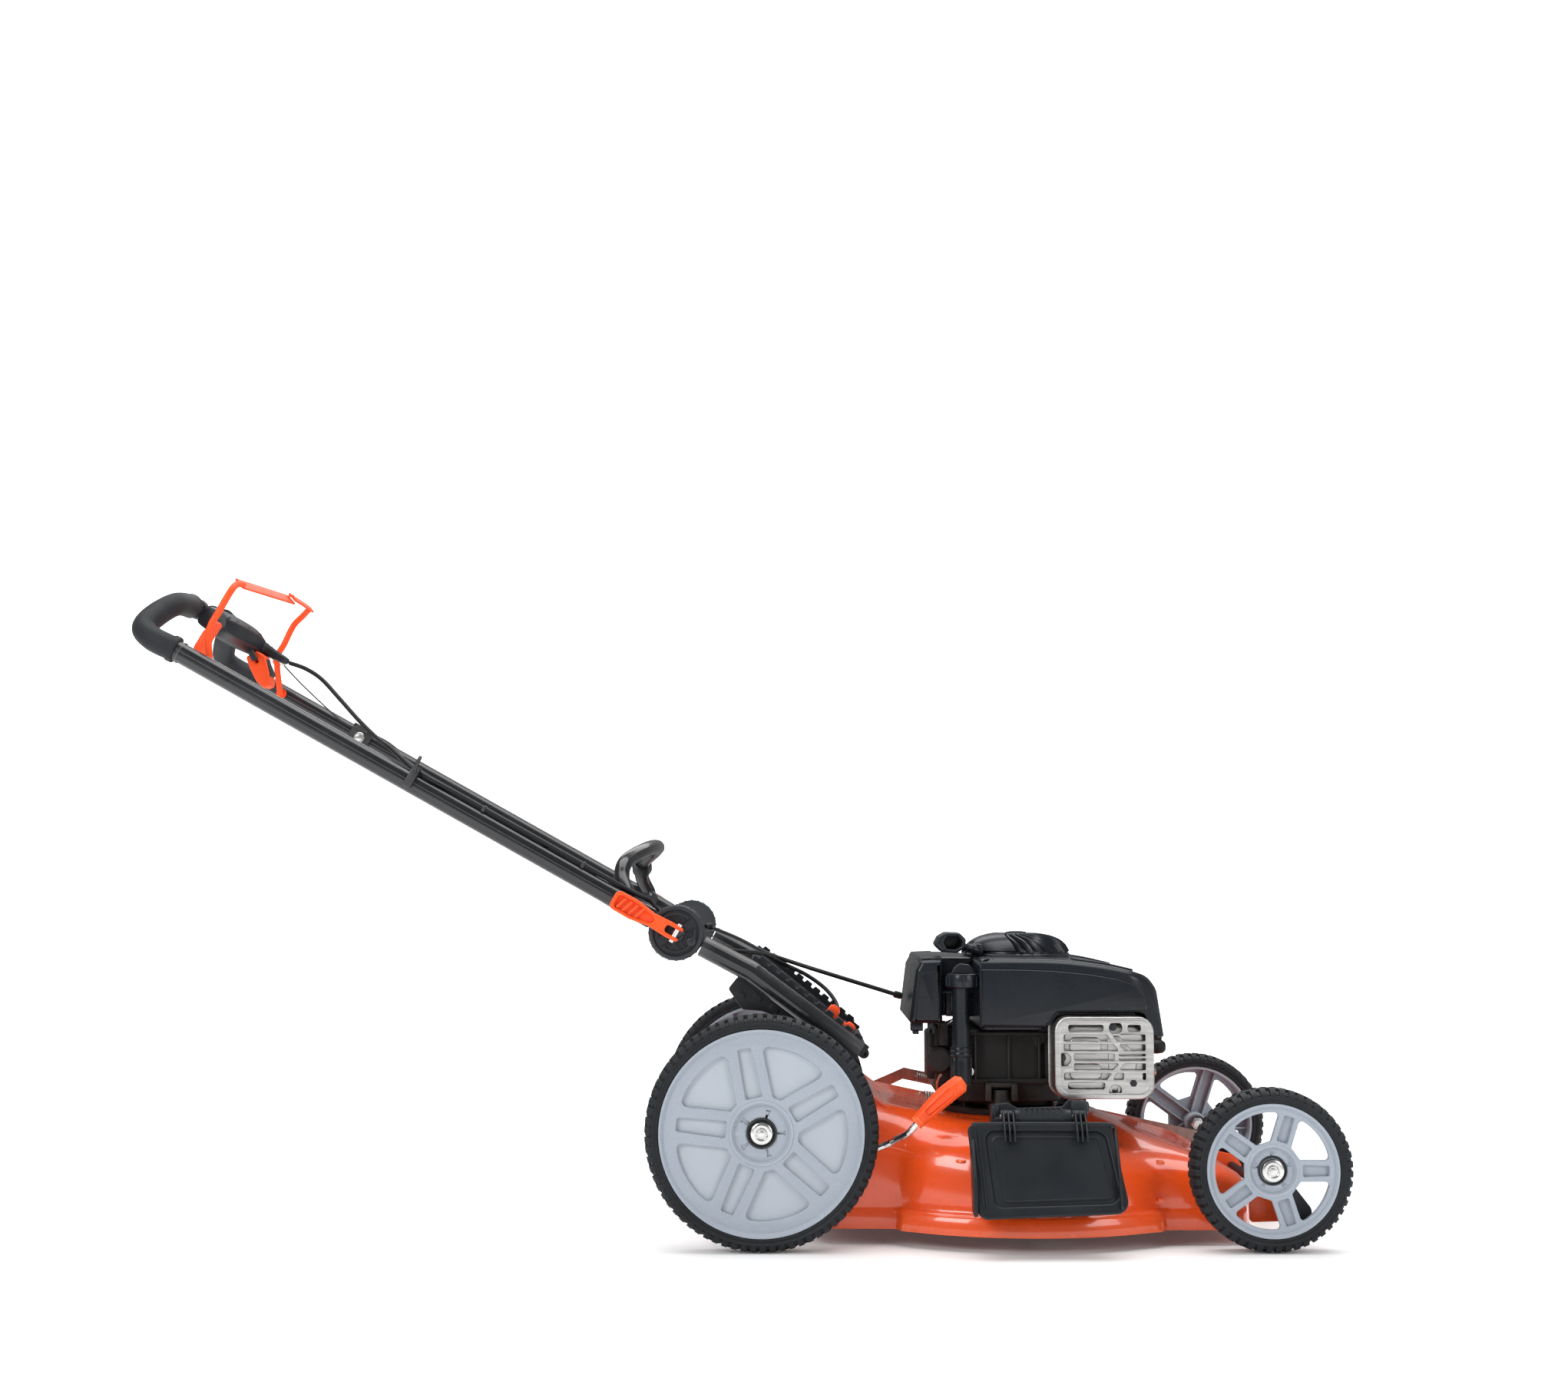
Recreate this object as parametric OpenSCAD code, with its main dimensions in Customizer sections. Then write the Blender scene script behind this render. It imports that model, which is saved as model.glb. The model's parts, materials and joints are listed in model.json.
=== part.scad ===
// Walk-behind push mower with high rear wheels, a side discharge chute and a folding handle.
// +X is forward, +Y is the operator's left, +Z is up. The origin lies on the ground below the rear axle.

/* [Wheels] */
// Distance between the rear and the front wheel centres
wheelbase = 650; // [620:5:680]
// Radius of the rear tyres
rear_r = 150; // [146:1:152]
// Radius of the front tyres
front_r = 103.4; // [100:0.2:105]
// Distance from the middle plane to the outer face of each tyre
track_half = 275.4; // [272:0.2:280]
// Width of each tyre
tyre_w = 44.4; // [40:0.2:46]
// Radius of the shoulder bolt each wheel turns on
bolt_r = 6.35; // [6:0.05:6.6]

/* [Deck] */
// Radius of the round cutting chamber
deck_r = 266; // [260:1:268]
// X position of the blade spindle
spindle_x = 350; // [345:1:355]
// Height of the skirt above the ground
skirt_z = 20; // [18:1:30]
// Height of the deck top at the spindle
deck_top = 150; // [148:1:152]
// Sheet thickness of the deck
sheet = 2.5; // [2:0.25:3]

/* [Engine] */
// Height of the engine's mounting flange
flange_z = 153; // [152:1:156]
// Height of the flat top of the engine cover
cover_top = 366; // [360:1:370]
// Radius of the crankshaft
crank_r = 11.1; // [10:0.1:12.7]

/* [Handle] */
// Distance from the middle plane to each handle tube
tube_y = 215; // [212:1:217]
// Outer radius of the handle tubes
tube_r = 14; // [12.7:0.1:14.5]
// Height of the folding pivot
pivot_z = 403; // [398:1:406]
// Distance of the folding pivot behind the rear axle
pivot_back = 112; // [108:1:116]
// Slope of the upper handle above the horizontal
handle_slope = 29.2; // [28:0.1:30]
// Radius of the pivot discs
disc_r = 36; // [34:1:37]
// Radius of the soft grips
grip_r = 16.2; // [15:0.1:23]

/* [Cutting blade] */
// Length of the blade
blade_l = 508; // [480:2:516]
// Height of the blade above the ground
blade_z = 52; // [48:1:60]

/* [Hidden] */
$fn = 48;

orange = [0.93, 0.31, 0.08];
black = [0.12, 0.13, 0.15];
steel = [0.68, 0.69, 0.70];
rim_grey = [0.66, 0.69, 0.74];
zinc = [0.55, 0.48, 0.45];

// Running clearance of a shaft in its bore
fit = 0.05;
// Gap between faces on different bodies
gap = 0.4;

// Crank pivots of the two height-adjusting axles, seen from the side
crank_dx = 45;
crank_dz = -58;
rear_pivot = [crank_dx, rear_r + crank_dz];
front_pivot = [wheelbase + crank_dx, front_r + crank_dz];
// Where the link strip is pinned on each crank, counted from the crank pivot
link_dx = 15;
link_dz = 27;
link_y = 219;
axle_rod_r = 6.5;
wheel_inner = track_half - tyre_w;

pivot = [-pivot_back, 0, pivot_z];
tube_dir = [-cos(handle_slope), 0, sin(handle_slope)];
tube_len = 770;

// ---------- shapes that repeat ----------

// Straight round bar from p to q
module rod(p, q, r) {
    v = q - p;
    l = norm(v);
    translate(p)
        rotate([0, acos(v[2] / l), atan2(v[1], v[0])])
            cylinder(r = r, h = l);
}

// Round bar bent through a list of points
module bent_rod(points, r) {
    for (i = [0 : len(points) - 2])
        rod(points[i], points[i + 1], r);
    if (len(points) > 2)
        for (i = [1 : len(points) - 2])
            translate(points[i]) sphere(r = r);
}

// The same piece on both sides of the middle plane
module both_sides() {
    children();
    mirror([0, 1, 0]) children();
}

// A shape drawn in the X-Z plane, extruded from y0 to y1
module side_plate(y0, y1) {
    translate([0, y1, 0]) rotate([90, 0, 0]) linear_extrude(height = y1 - y0) children();
}

// Cylinder along Y from y0 to y1 at a place in the X-Z plane
module y_cyl(at, y0, y1, r) {
    translate([at[0], y1, at[1]]) rotate([90, 0, 0]) cylinder(r = r, h = y1 - y0);
}

module round_rect(x0, x1, y0, y1, r) {
    translate([x0 + r, y0]) square([x1 - x0 - 2 * r, y1 - y0]);
    translate([x0, y0 + r]) square([x1 - x0, y1 - y0 - 2 * r]);
    for (x = [x0 + r, x1 - r], y = [y0 + r, y1 - r])
        translate([x, y]) circle(r = r);
}

// A tube swept along a cable's own route, as one closed mesh
function unit(v) = v / norm(v);
function route_dir(p, i) = unit(p[min(i + 1, len(p) - 1)] - p[max(i - 1, 0)]);
function side_of(d, ref) = unit(cross(d, ref));
function smooth_at(p, i, t) =
    let (a = p[max(i - 1, 0)], b = p[i], c = p[i + 1], e = p[min(i + 2, len(p) - 1)])
    0.5 * (2 * b + (c - a) * t + (2 * a - 5 * b + 4 * c - e) * t * t + (3 * b - a - 3 * c + e) * t * t * t);
function smooth_route(p, steps) = [
    for (i = [0 : len(p) - 2], s = [0 : steps - 1]) smooth_at(p, i, s / steps),
    p[len(p) - 1]
];
module cable(points, r, steps = 4, sides = 8, ref = [0.49, 0.02, 0.87]) {
    route = smooth_route(points, steps);
    n = len(route);
    verts = [
        for (i = [0 : n - 1])
            let (d = route_dir(route, i), s = side_of(d, ref), u = cross(d, s))
                for (k = [0 : sides - 1])
                    route[i] + r * (cos(360 * k / sides) * s + sin(360 * k / sides) * u)
    ];
    walls = [
        for (i = [0 : n - 2], k = [0 : sides - 1])
            let (j = (k + 1) % sides)
                [i * sides + k, (i + 1) * sides + k, (i + 1) * sides + j, i * sides + j]
    ];
    first = [for (k = [0 : sides - 1]) k];
    last = [for (k = [sides - 1 : -1 : 0]) (n - 1) * sides + k];
    polyhedron(points = verts, faces = concat([first], walls, [last]), convexity = 6);
}

// A hollow sleeve along a smooth route, as one closed mesh
module sleeve(points, r, bore, steps = 3, sides = 16, ref = [0.49, 0.02, 0.87]) {
    route = smooth_route(points, steps);
    n = len(route);
    ring = 2 * sides;
    verts = [
        for (i = [0 : n - 1])
            let (d = route_dir(route, i), s = side_of(d, ref), u = cross(d, s))
                for (radius = [r, bore], k = [0 : sides - 1])
                    route[i] + radius * (cos(360 * k / sides) * s + sin(360 * k / sides) * u)
    ];
    outer = [
        for (i = [0 : n - 2], k = [0 : sides - 1])
            let (j = (k + 1) % sides) [i * ring + k, (i + 1) * ring + k, (i + 1) * ring + j, i * ring + j]
    ];
    inner = [
        for (i = [0 : n - 2], k = [0 : sides - 1])
            let (j = (k + 1) % sides, a = i * ring + sides, b = (i + 1) * ring + sides) [a + k, a + j, b + j, b + k]
    ];
    first = [for (k = [0 : sides - 1]) let (j = (k + 1) % sides) [k, j, sides + j, sides + k]];
    e = (n - 1) * ring;
    last = [for (k = [0 : sides - 1]) let (j = (k + 1) % sides) [e + k, e + sides + k, e + sides + j, e + j]];
    polyhedron(points = verts, faces = concat(outer, inner, first, last), convexity = 8);
}

// ---------- wheels ----------

// Half section of a tyre, its outer face at zero and the wheel's middle on the axis
module tyre_section(r, rim) {
    polygon([
        [rim + 1.2, 3], [rim + 7, 1], [r - 12, 0], [r - 4, 3], [r, 11],
        [r, tyre_w - 11], [r - 4, tyre_w - 3], [r - 12, tyre_w], [rim + 7, tyre_w - 1], [rim + 1.2, tyre_w - 3]
    ]);
}

module place_wheel(x, z, side) {
    translate([x, side * track_half, z]) rotate([side * 90, 0, 0]) children();
}

module tyre(x, r, rim, side) {
    color(black) place_wheel(x, r, side)
        rotate_extrude($fn = 96) tyre_section(r, rim);
}

// Solid dished wheel with five recessed panels
module rear_rim(side) {
    rim = 131.2;
    color(rim_grey) place_wheel(0, rear_r, side) difference() {
        rotate_extrude($fn = 96) polygon([
            [bolt_r + fit, 9], [34, 9], [36, 4], [40, 4], [42, 8], [rim - 16, 6], [rim - 10, 1], [rim, 0.5],
            [rim, 3.5], [rim + 1.2, 3.5], [rim + 1.2, tyre_w - 3.5], [rim, tyre_w - 3.5], [rim - 6, tyre_w - 3.5],
            [rim - 6, 24], [44, 26], [34, tyre_w - 2], [bolt_r + fit, tyre_w - 2]
        ]);
        translate([0, 0, -1]) cylinder(r = 20, h = 16);
        for (k = [0 : 4]) rotate(66 + side * -12 + 72 * k) panel_recess(rim, 16);
    }
}

// Rounded sector between two spokes
module panel_recess(rim, depth) {
    translate([0, 0, -1]) linear_extrude(height = depth) difference() {
        polygon([[55, 0], [rim * 0.97 * cos(25), rim * 0.97 * sin(25)], [rim * 1.1, 0],
            [rim * 0.97 * cos(25), -rim * 0.97 * sin(25)]]);
        circle(r = 48);
        difference() {
            circle(r = 2 * rim);
            circle(r = rim - 18, $fn = 96);
        }
    }
}

// Open five-spoked wheel
module front_rim(side) {
    rim = 84.5;
    color(rim_grey) place_wheel(wheelbase, front_r, side) difference() {
        union() {
            rotate_extrude($fn = 96) polygon([
                [rim - 11, 3], [rim - 6, 0.5], [rim, 0.5], [rim, 3.5], [rim + 1.2, 3.5],
                [rim + 1.2, tyre_w - 3.5], [rim - 4, tyre_w - 3.5], [rim - 6, 20], [rim - 11, 18]
            ]);
            translate([0, 0, 4]) cylinder(r = 34, h = 22);
            translate([0, 0, 4]) cylinder(r = 15, h = tyre_w - 6);
            for (k = [0 : 4]) rotate(72 * k)
                translate([20, -12, 5]) cube([rim - 28, 24, 14]);
        }
        translate([0, 0, -1]) cylinder(r = bolt_r + fit, h = tyre_w + 2);
        translate([0, 0, -1]) cylinder(r = 27.5, h = 8);
        translate([0, 0, -1]) cylinder(r = 18, h = 13);
        for (k = [0 : 4]) rotate(72 * k)
            translate([39, -6, -1]) cube([28, 12, 10]);
    }
}

// Shoulder bolt with its cap outside and its nut on the crank arm
module wheel_bolt(x, r, side) {
    place_wheel(x, r, side) {
        translate([0, 0, 11.4 + gap]) cylinder(r = bolt_r, h = tyre_w - 3.5 - gap);
        translate([0, 0, 6]) cylinder(r = 13.5, h = 5.4 + gap);
        translate([0, 0, 2]) cylinder(r = 7.5, h = 4.5, $fn = 6);
    }
}

module rear_wheel_bolts() { color(steel) for (s = [-1, 1]) wheel_bolt(0, rear_r, s); }
module front_wheel_bolts() { color(steel) for (s = [-1, 1]) wheel_bolt(wheelbase, front_r, s); }

// ---------- height adjustment ----------

// Flat arm between two points of the X-Z plane, with a hole at its wheel end
module crank_arm(a, b, y0, y1, r, hole) {
    side_plate(y0, y1) difference() {
        union() {
            translate(a) circle(r = r);
            translate(b) circle(r = r);
            polygon(let (v = unit(b - a), n = [-v[1], v[0]] * r) [a + n, b + n, b - n, a - n]);
        }
        translate(b) circle(r = hole);
    }
}

module cranked_axle(p, w) {
    y_cyl(p, -wheel_inner + 4, wheel_inner - 4, axle_rod_r);
    for (s = [-1, 1]) {
        y0 = s > 0 ? wheel_inner - 7.4 : -wheel_inner + 1.4;
        crank_arm(p, w, y0, y0 + 6, 13, bolt_r + 0.02);
    }
}

module link_arm(p) {
    side_plate(link_y - 8.4, link_y - 2.4) difference() {
        union() {
            translate(p) circle(r = 11);
            translate(p + [link_dx, link_dz]) circle(r = 9);
            polygon(let (v = unit([link_dx, link_dz]), n = [-v[1], v[0]] * 9)
                [p + n, p + [link_dx, link_dz] + n, p + [link_dx, link_dz] - n, p - n]);
        }
        translate(p) circle(r = axle_rod_r - 1);
    }
    y_cyl(p + [link_dx, link_dz], link_y - 3, link_y + 3, 4);
}

module rear_axle() {
    color(black) {
        cranked_axle(rear_pivot, [0, rear_r]);
        link_arm(rear_pivot);
    }
}

module front_axle() {
    color(black) {
        cranked_axle(front_pivot, [wheelbase, front_r]);
        link_arm(front_pivot);
    }
}

// Long flat strip that ties the two cranks together, with its assist spring
module link_strip() {
    a = rear_pivot + [link_dx, link_dz];
    e = front_pivot + [link_dx, link_dz];
    half = 8.5;
    bends = [a - [7, 4], a, [150, 154], [207, 180], [640, 88], e, e + [7, -3]];
    n = len(bends);
    normals = [
        for (i = [0 : n - 1])
            let (d = unit(bends[min(i + 1, n - 1)] - bends[max(i - 1, 0)])) [-d[1], d[0]] * half
    ];
    color(zinc) side_plate(link_y - 1.5, link_y + 1.5) difference() {
        polygon(concat(
            [for (i = [0 : n - 1]) bends[i] + normals[i]],
            [for (i = [n - 1 : -1 : 0]) bends[i] - normals[i]]
        ));
        translate(a) circle(r = 4 + fit);
        translate(e) circle(r = 4.6);
    }
    color(steel) for (k = [0 : 5])
        translate([228 + 3.2 * k, link_y - 9, 175 - 0.7 * k]) rotate([0, 90, 0])
            rotate_extrude($fn = 24) translate([5.5, 0]) circle(r = 1.1, $fn = 16);
    color(steel) rod([224, link_y - 9, 176], [262, link_y - 9, 168], 1.4);
    color(steel) rod([226, link_y - 9, 175.5], [226, link_y - 1.4, 175.5], 2.5);
}

lever_points = [
    [rear_pivot[0] - 4, -224, rear_pivot[1] - 1], [90, -224, 106], [158, -224, 129], [174, -234, 139],
    [188, -249, 148], [199, -255, 161], [220, -255.5, 182], [240, -256, 202]
];

module height_lever() {
    color(steel) cable(lever_points, 4.5, 3, 16);
}

module lever_grip() {
    color(orange) difference() {
        hull() {
            translate([199, -255, 162]) rotate([0, 45, 0]) cylinder(r = 9.5, h = 6);
            translate([242, -256, 204]) sphere(r = 12);
            translate([259, -257, 215]) sphere(r = 11.5, $fn = 32);
        }
        rod([192, -255, 155], [241, -256, 203], 4.7);
    }
}

// ---------- deck ----------

// One level of the cutting chamber, tilted down towards the front
module bell_level(z, r, tilt) {
    translate([spindle_x, 0, z]) rotate([0, tilt, 0]) cylinder(r = r, h = 0.2, $fn = 72);
}

module bell(in) {
    hull() {
        bell_level(44 - in, deck_r - in, 0);
        bell_level(105 - in, deck_r - 9 - in, 4);
        bell_level(131 - in, deck_r - 32 - in, 8);
        bell_level(deck_top - 4 - in, deck_r - 62 - in, 10);
    }
}

module nose(in) {
    hull() {
        translate([0, 0, skirt_z + 4 - 2 * in]) linear_extrude(height = 1)
            round_rect(330, 640 - in, -213 + in, 213 - in, 42, $fn = 32);
        translate([0, 0, 78 - in]) linear_extrude(height = 1)
            round_rect(330, 632 - in, -207 + in, 207 - in, 44, $fn = 32);
        translate([330, 0, 149 - in]) rotate([0, 9, 0]) linear_extrude(height = 0.2)
            round_rect(0, 280 - in, -182 + in, 182 - in, 50, $fn = 32);
    }
}

// Rear tunnel that feeds the rear opening, left open at its slanted back
module tunnel(in) {
    side_plate(-160 + in, 160 - in)
        polygon([[50 - 3 * in, 118 + in], [118 - 3 * in, 205 + in / 2], [124 - in, 207 - in], [142 - in, 150],
            [200, 128], [200, 96 + in], [130, 100 + in]]);
}

// Raised rear of the deck between the wheels
module apron(in) {
    side_plate(-205 + in, 205 - in)
        polygon([[64 + in, 90 - 2 * in], [64 + in, 112 - in], [110, 150 - in], [150, 160 - in], [200, 158 - in],
            [260, 150 - in], [300, 90 - 2 * in]]);
}

module deck() {
    color(orange) {
        difference() {
            union() {
                bell(0);
                nose(0);
                tunnel(0);
                apron(0);
                translate([spindle_x, 0, 120]) cylinder(r = 112, h = flange_z - 120, $fn = 72);
            }
            bell(sheet);
            nose(sheet);
            tunnel(sheet);
            apron(sheet);
            translate([spindle_x, 0, 40]) cylinder(r = 112 - sheet, h = flange_z - 40 - sheet, $fn = 72);
            translate([spindle_x, 0, flange_z]) cylinder(r = 112, h = 60, $fn = 72);
            translate([spindle_x, 0, 100]) cylinder(r = 24, h = 80);
            translate([spindle_x - 55, -300, 58]) cube([128, 140, 72]);
            for (k = [0 : 2]) rotate_about_spindle(k) translate([88, 0, 100]) cylinder(r = 4.5, h = 80);
        }
        // Skirt with its outward ledge, left open where the front wheels stand
        difference() {
            translate([spindle_x, 0, 0]) rotate_extrude($fn = 96)
                polygon([[deck_r - sheet, 44], [deck_r - sheet, 50], [deck_r + 2, 50], [deck_r + 10, 46], [deck_r + 13, skirt_z],
                    [deck_r + 10.5, skirt_z], [deck_r + 7.5, 44]]);
            translate([spindle_x + 160, -400, 0]) cube([300, 800, 200]);
            translate([0, -400, 0]) cube([150, 800, 200]);
        }
    }
}

module rotate_about_spindle(k) {
    translate([spindle_x, 0, 0]) rotate(120 * k + 60) children();
}

// Brackets that carry the lower handle tubes
module handle_brackets() {
    color(black) both_sides() {
        side_plate(-199, -195) difference() {
            polygon([
                [-45, 329], [-34, 343], [-16, 352], [4, 338], [126, 246], [120, 232], [104, 222], [100, 142.4],
                [66, 114.2], [66, 226], [50, 262], [19, 293], [-1, 300], [-26, 302]
            ]);
            translate([70, 270]) circle(r = 4.2);
        }
        side_plate(-199, -160.4) polygon([[66, 114.2], [100, 142.4], [100, 146], [66, 118]]);
    }
}

// Brackets in which the two height-adjusting axles turn, and the notched plate of the lever
module axle_brackets() {
    color(orange) both_sides() {
        side_plate(-210, -205.2) difference() {
            polygon([[30, 78], [60, 78], [112, 108], [112, 142], [70, 116], [30, 108]]);
            translate(rear_pivot) circle(r = axle_rod_r + fit);
        }
        side_plate(-201, -196) difference() {
            polygon([[634, 28], [700, 30], [710, 46], [700, 62], [634, 76]]);
            translate(front_pivot) circle(r = axle_rod_r + fit);
        }
    }
    color(steel) side_plate(-216, -213.4) difference() {
        polygon([[100, 128], [150, 138], [176, 156], [176, 190], [150, 202], [134, 190], [120, 160]]);
        for (k = [0 : 5]) translate([178 - 5 * k, 150 + 10 * k]) circle(r = 4);
    }
    color(steel) side_plate(-214, -205.2) polygon([[104, 128], [112, 128], [112, 136], [104, 136]]);
}

// ---------- lower handle ----------

bend_at = [-14, 352];
lower_end = [126, 248];
start_t = disc_r + 1.5;

module lower_tubes() {
    start = [-pivot_back, pivot_z] + start_t * unit(bend_at - [-pivot_back, pivot_z]);
    before = bend_at - 22 * unit(bend_at - start);
    after = bend_at + 22 * unit(lower_end - bend_at);
    color(black) both_sides()
        sleeve([for (p = [start, before, bend_at, after, lower_end]) [p[0], -tube_y, p[1]]], tube_r, tube_r - 2, 4, 24);
    color(steel) both_sides() y_cyl([70, 270], -tube_y + tube_r + 0.5, -199.2, 5);
}

module disc(y0, y1) {
    difference() {
        y_cyl([-pivot_back, pivot_z], y0, y1, disc_r);
        y_cyl([-pivot_back, pivot_z], y0 - 1, y1 + 1, 4.2 + fit);
    }
}

module lower_discs() {
    color(black) both_sides() {
        disc(-213, -197);
        side_plate(-200.8, -197) polygon([[-84, 400], [-58, 391], [-64, 374], [-92, 384]]);
    }
}

module upper_discs() {
    color(black) both_sides() difference() {
        disc(-233, -213 - gap);
        for (a = [0, 180])
            translate([-pivot_back, -231, pivot_z]) rotate([90, a + handle_slope, 0])
                linear_extrude(height = 3) difference() {
                    circle(r = disc_r - 4);
                    translate([-40, -10]) square([80, 60]);
                }
    }
}

// Eye bolts through both discs, with the cross pin each cam lever turns on
module pivot_bolts() {
    color(steel) both_sides() {
        y_cyl([-pivot_back, pivot_z], -241, -192, 4.2);
        y_cyl([-pivot_back, pivot_z], -196, -191, 7.5);
        translate([-pivot_back, -243, pivot_z]) rotate([0, handle_slope, 0])
            translate([0, 0, -14]) cylinder(r = 4, h = 28);
    }
}

module cam_lever() {
    translate([-pivot_back, -243, pivot_z]) rotate([0, handle_slope, 0]) color(orange) difference() {
        union() {
            translate([0, 0, -11]) cylinder(r = 8, h = 22);
            translate([-20, -7, -11]) cube([20, 13, 22]);
            translate([-92, -8, -10]) cube([74, 7, 20]);
            translate([-92, -1, 0]) rotate([90, 0, 0]) cylinder(r = 10, h = 7);
        }
        translate([0, 0, -20]) cylinder(r = 4 + fit, h = 40);
        translate([-14, -20, -5]) cube([30, 40, 10]);
        for (k = [0 : 3]) translate([-40 - 15 * k, -9, -6]) cube([11, 3, 12]);
    }
}
module cam_lever_right() { cam_lever(); }
module cam_lever_left() { mirror([0, 1, 0]) cam_lever(); }

// ---------- rear door ----------

door_hinge = [134, 243];
door_tip = [-17, 364];

module rear_door() {
    v = unit(door_tip - door_hinge);
    l = norm(door_tip - door_hinge);
    angle = atan2(v[1], v[0]);
    color(black) translate([door_hinge[0], 0, door_hinge[1]]) rotate([0, -angle, 0]) {
        rotate([90, 0, 0]) translate([0, 0, -176]) cylinder(r = 7, h = 352);
        translate([0, -176, -3]) cube([l, 352, 4]);
        for (s = [-1, 1]) translate([0, s * 181 - 6, -6]) cube([l, 12, 12]);
        for (k = [1 : 11], s = [-1, 1])
            translate([16 * k, s * 181 - 5, -9]) cube([7, 10, 18]);
    }
}

// Orange catch on the door
module door_latch() {
    color(orange) translate([100, -60, 273]) rotate([0, 38.7, 0]) {
        translate([-22, -14, 2]) cube([16, 28, 17]);
        translate([-7, -11, 2]) cube([20, 22, 8]);
        translate([12, -14, 2]) cube([12, 28, 13]);
    }
}

// ---------- upper handle ----------

function on_tube(t, y) = [pivot[0] + t * tube_dir[0], y, pivot[2] + t * tube_dir[2]];
// A point that lies above the handle tubes' plane by h
function above(t, y, h) = on_tube(t, y) + h * [sin(handle_slope), 0, cos(handle_slope)];

bail_t = 715;

module upper_tube(side) {
    p = on_tube(disc_r + 6, side * tube_y);
    q = on_tube(tube_len, side * tube_y);
    color(black) difference() {
        rod(p, q, tube_r);
        rod(on_tube(disc_r, side * tube_y), on_tube(tube_len + 1, side * tube_y), tube_r - 1.6);
        y_cyl([on_tube(bail_t, 0)[0], on_tube(bail_t, 0)[2]], -tube_y - 20, tube_y + 20, 3 + fit);
    }
    color(black) translate(on_tube(disc_r + 6, side * (tube_y + 8))) rotate([0, handle_slope, 0])
        translate([-22, -3, -9]) cube([27.5, 6, 18]);
}
module upper_tube_right() { upper_tube(-1); }
module upper_tube_left() { upper_tube(1); }

// The handle's closed end: from one tube, up and round, to the cross bar
loop_points = [
    on_tube(tube_len + 0.2, -tube_y), [-808, -212, 792], [-825, -196, 815], [-822, -172, 838],
    [-806, -140, 850], [-797, -84, 850], [-796, 0, 850]
];
bar_r = 9.5;

module top_bar() {
    n = len(loop_points);
    far_half = [for (i = [n - 2 : -1 : 0]) [loop_points[i][0], -loop_points[i][1], loop_points[i][2]]];
    color(black) cable(concat(loop_points, far_half), bar_r, 3, 16);
}

// Soft sleeves over the curved ends
module grips() {
    color(black) both_sides()
        sleeve([for (k = [0 : 5]) loop_points[k]], grip_r, bar_r + 0.3);
}

module console() {
    color(black) translate([-758, 12, 824]) rotate([0, 32, 4]) difference() {
        hull() {
            translate([0, -60, 0]) scale([1, 1.1, 1]) sphere(r = 24, $fn = 32);
            translate([6, 62, -3]) sphere(r = 27, $fn = 32);
            translate([-22, -40, 6]) sphere(r = 14, $fn = 24);
        }
        translate([-60, -100, 24]) cube([120, 220, 20]);
    }
    color(black) {
        for (y = [-50, 30])
            rod([-790, y, 846], [-768, y, 834], 9);
        rod([-724, 82, 803], [-700, 88, 789], 6);
        y_cyl([-752, 820], -140, -58, 2.5);
        for (y = [40.5, 83.5]) rod([-747, y, 806], [-736, y, 785], 4);
        y_cyl([-736, 786], 38.5, 85.5, 2.5);
    }
}

module hoop_brace() {
    hoop = [
        [-176, tube_r + 0.2 - tube_y, 440.5], [-176, tube_r + 8 - tube_y, 450], [-186, -193, 474], [-182, -168, 496],
        [-160, -90, 513], [-152, 0, 517]
    ];
    other = [for (i = [4 : -1 : 0]) [hoop[i][0], -hoop[i][1], hoop[i][2]]];
    color(black) cable(concat(hoop, other), 8.5, 4, 14);
}

// Rope hook, clips and clamp that hold the cables to the tubes
module cable_guides() {
    color(black) {
        translate(on_tube(402, -tube_y)) rotate([0, handle_slope, 0]) {
            translate([-5, -tube_r - 5.2, -6]) cube([10, 5, 24]);
            translate([0, -tube_r - 2, 26]) rotate([0, 90, 0])
                rotate_extrude($fn = 24) translate([9, 0]) circle(r = 2.2, $fn = 16);
        }
        translate(on_tube(208, -tube_y)) rotate([0, handle_slope, 0])
            translate([-5, tube_r + 0.2, -8]) cube([10, 4, 26]);
        translate(on_tube(578, tube_y)) rotate([0, handle_slope, 0]) difference() {
            translate([-17, -tube_r - 4.2, -15]) cube([34, 4, 32]);
            translate([0, -tube_r - 8, 0]) rotate([-90, 0, 0]) cylinder(r = 3.2, h = 10);
        }
    }
    color(steel) translate(on_tube(578, tube_y)) rotate([0, handle_slope, 0])
        translate([0, -tube_r - 8, 0]) rotate([-90, 0, 0]) {
            cylinder(r = 6, h = 3.8, $fn = 6);
            cylinder(r = 3.1, h = 7.6);
        }
}

// Bare wire from the bail's eye to the clamp on the left tube
module bail_wire() {
    color(steel) cable([[-735, 186, 799], [-706, 188, 768], [-668, 189, 732], [-640, 190, 708]], 0.9, 3);
}

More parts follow.
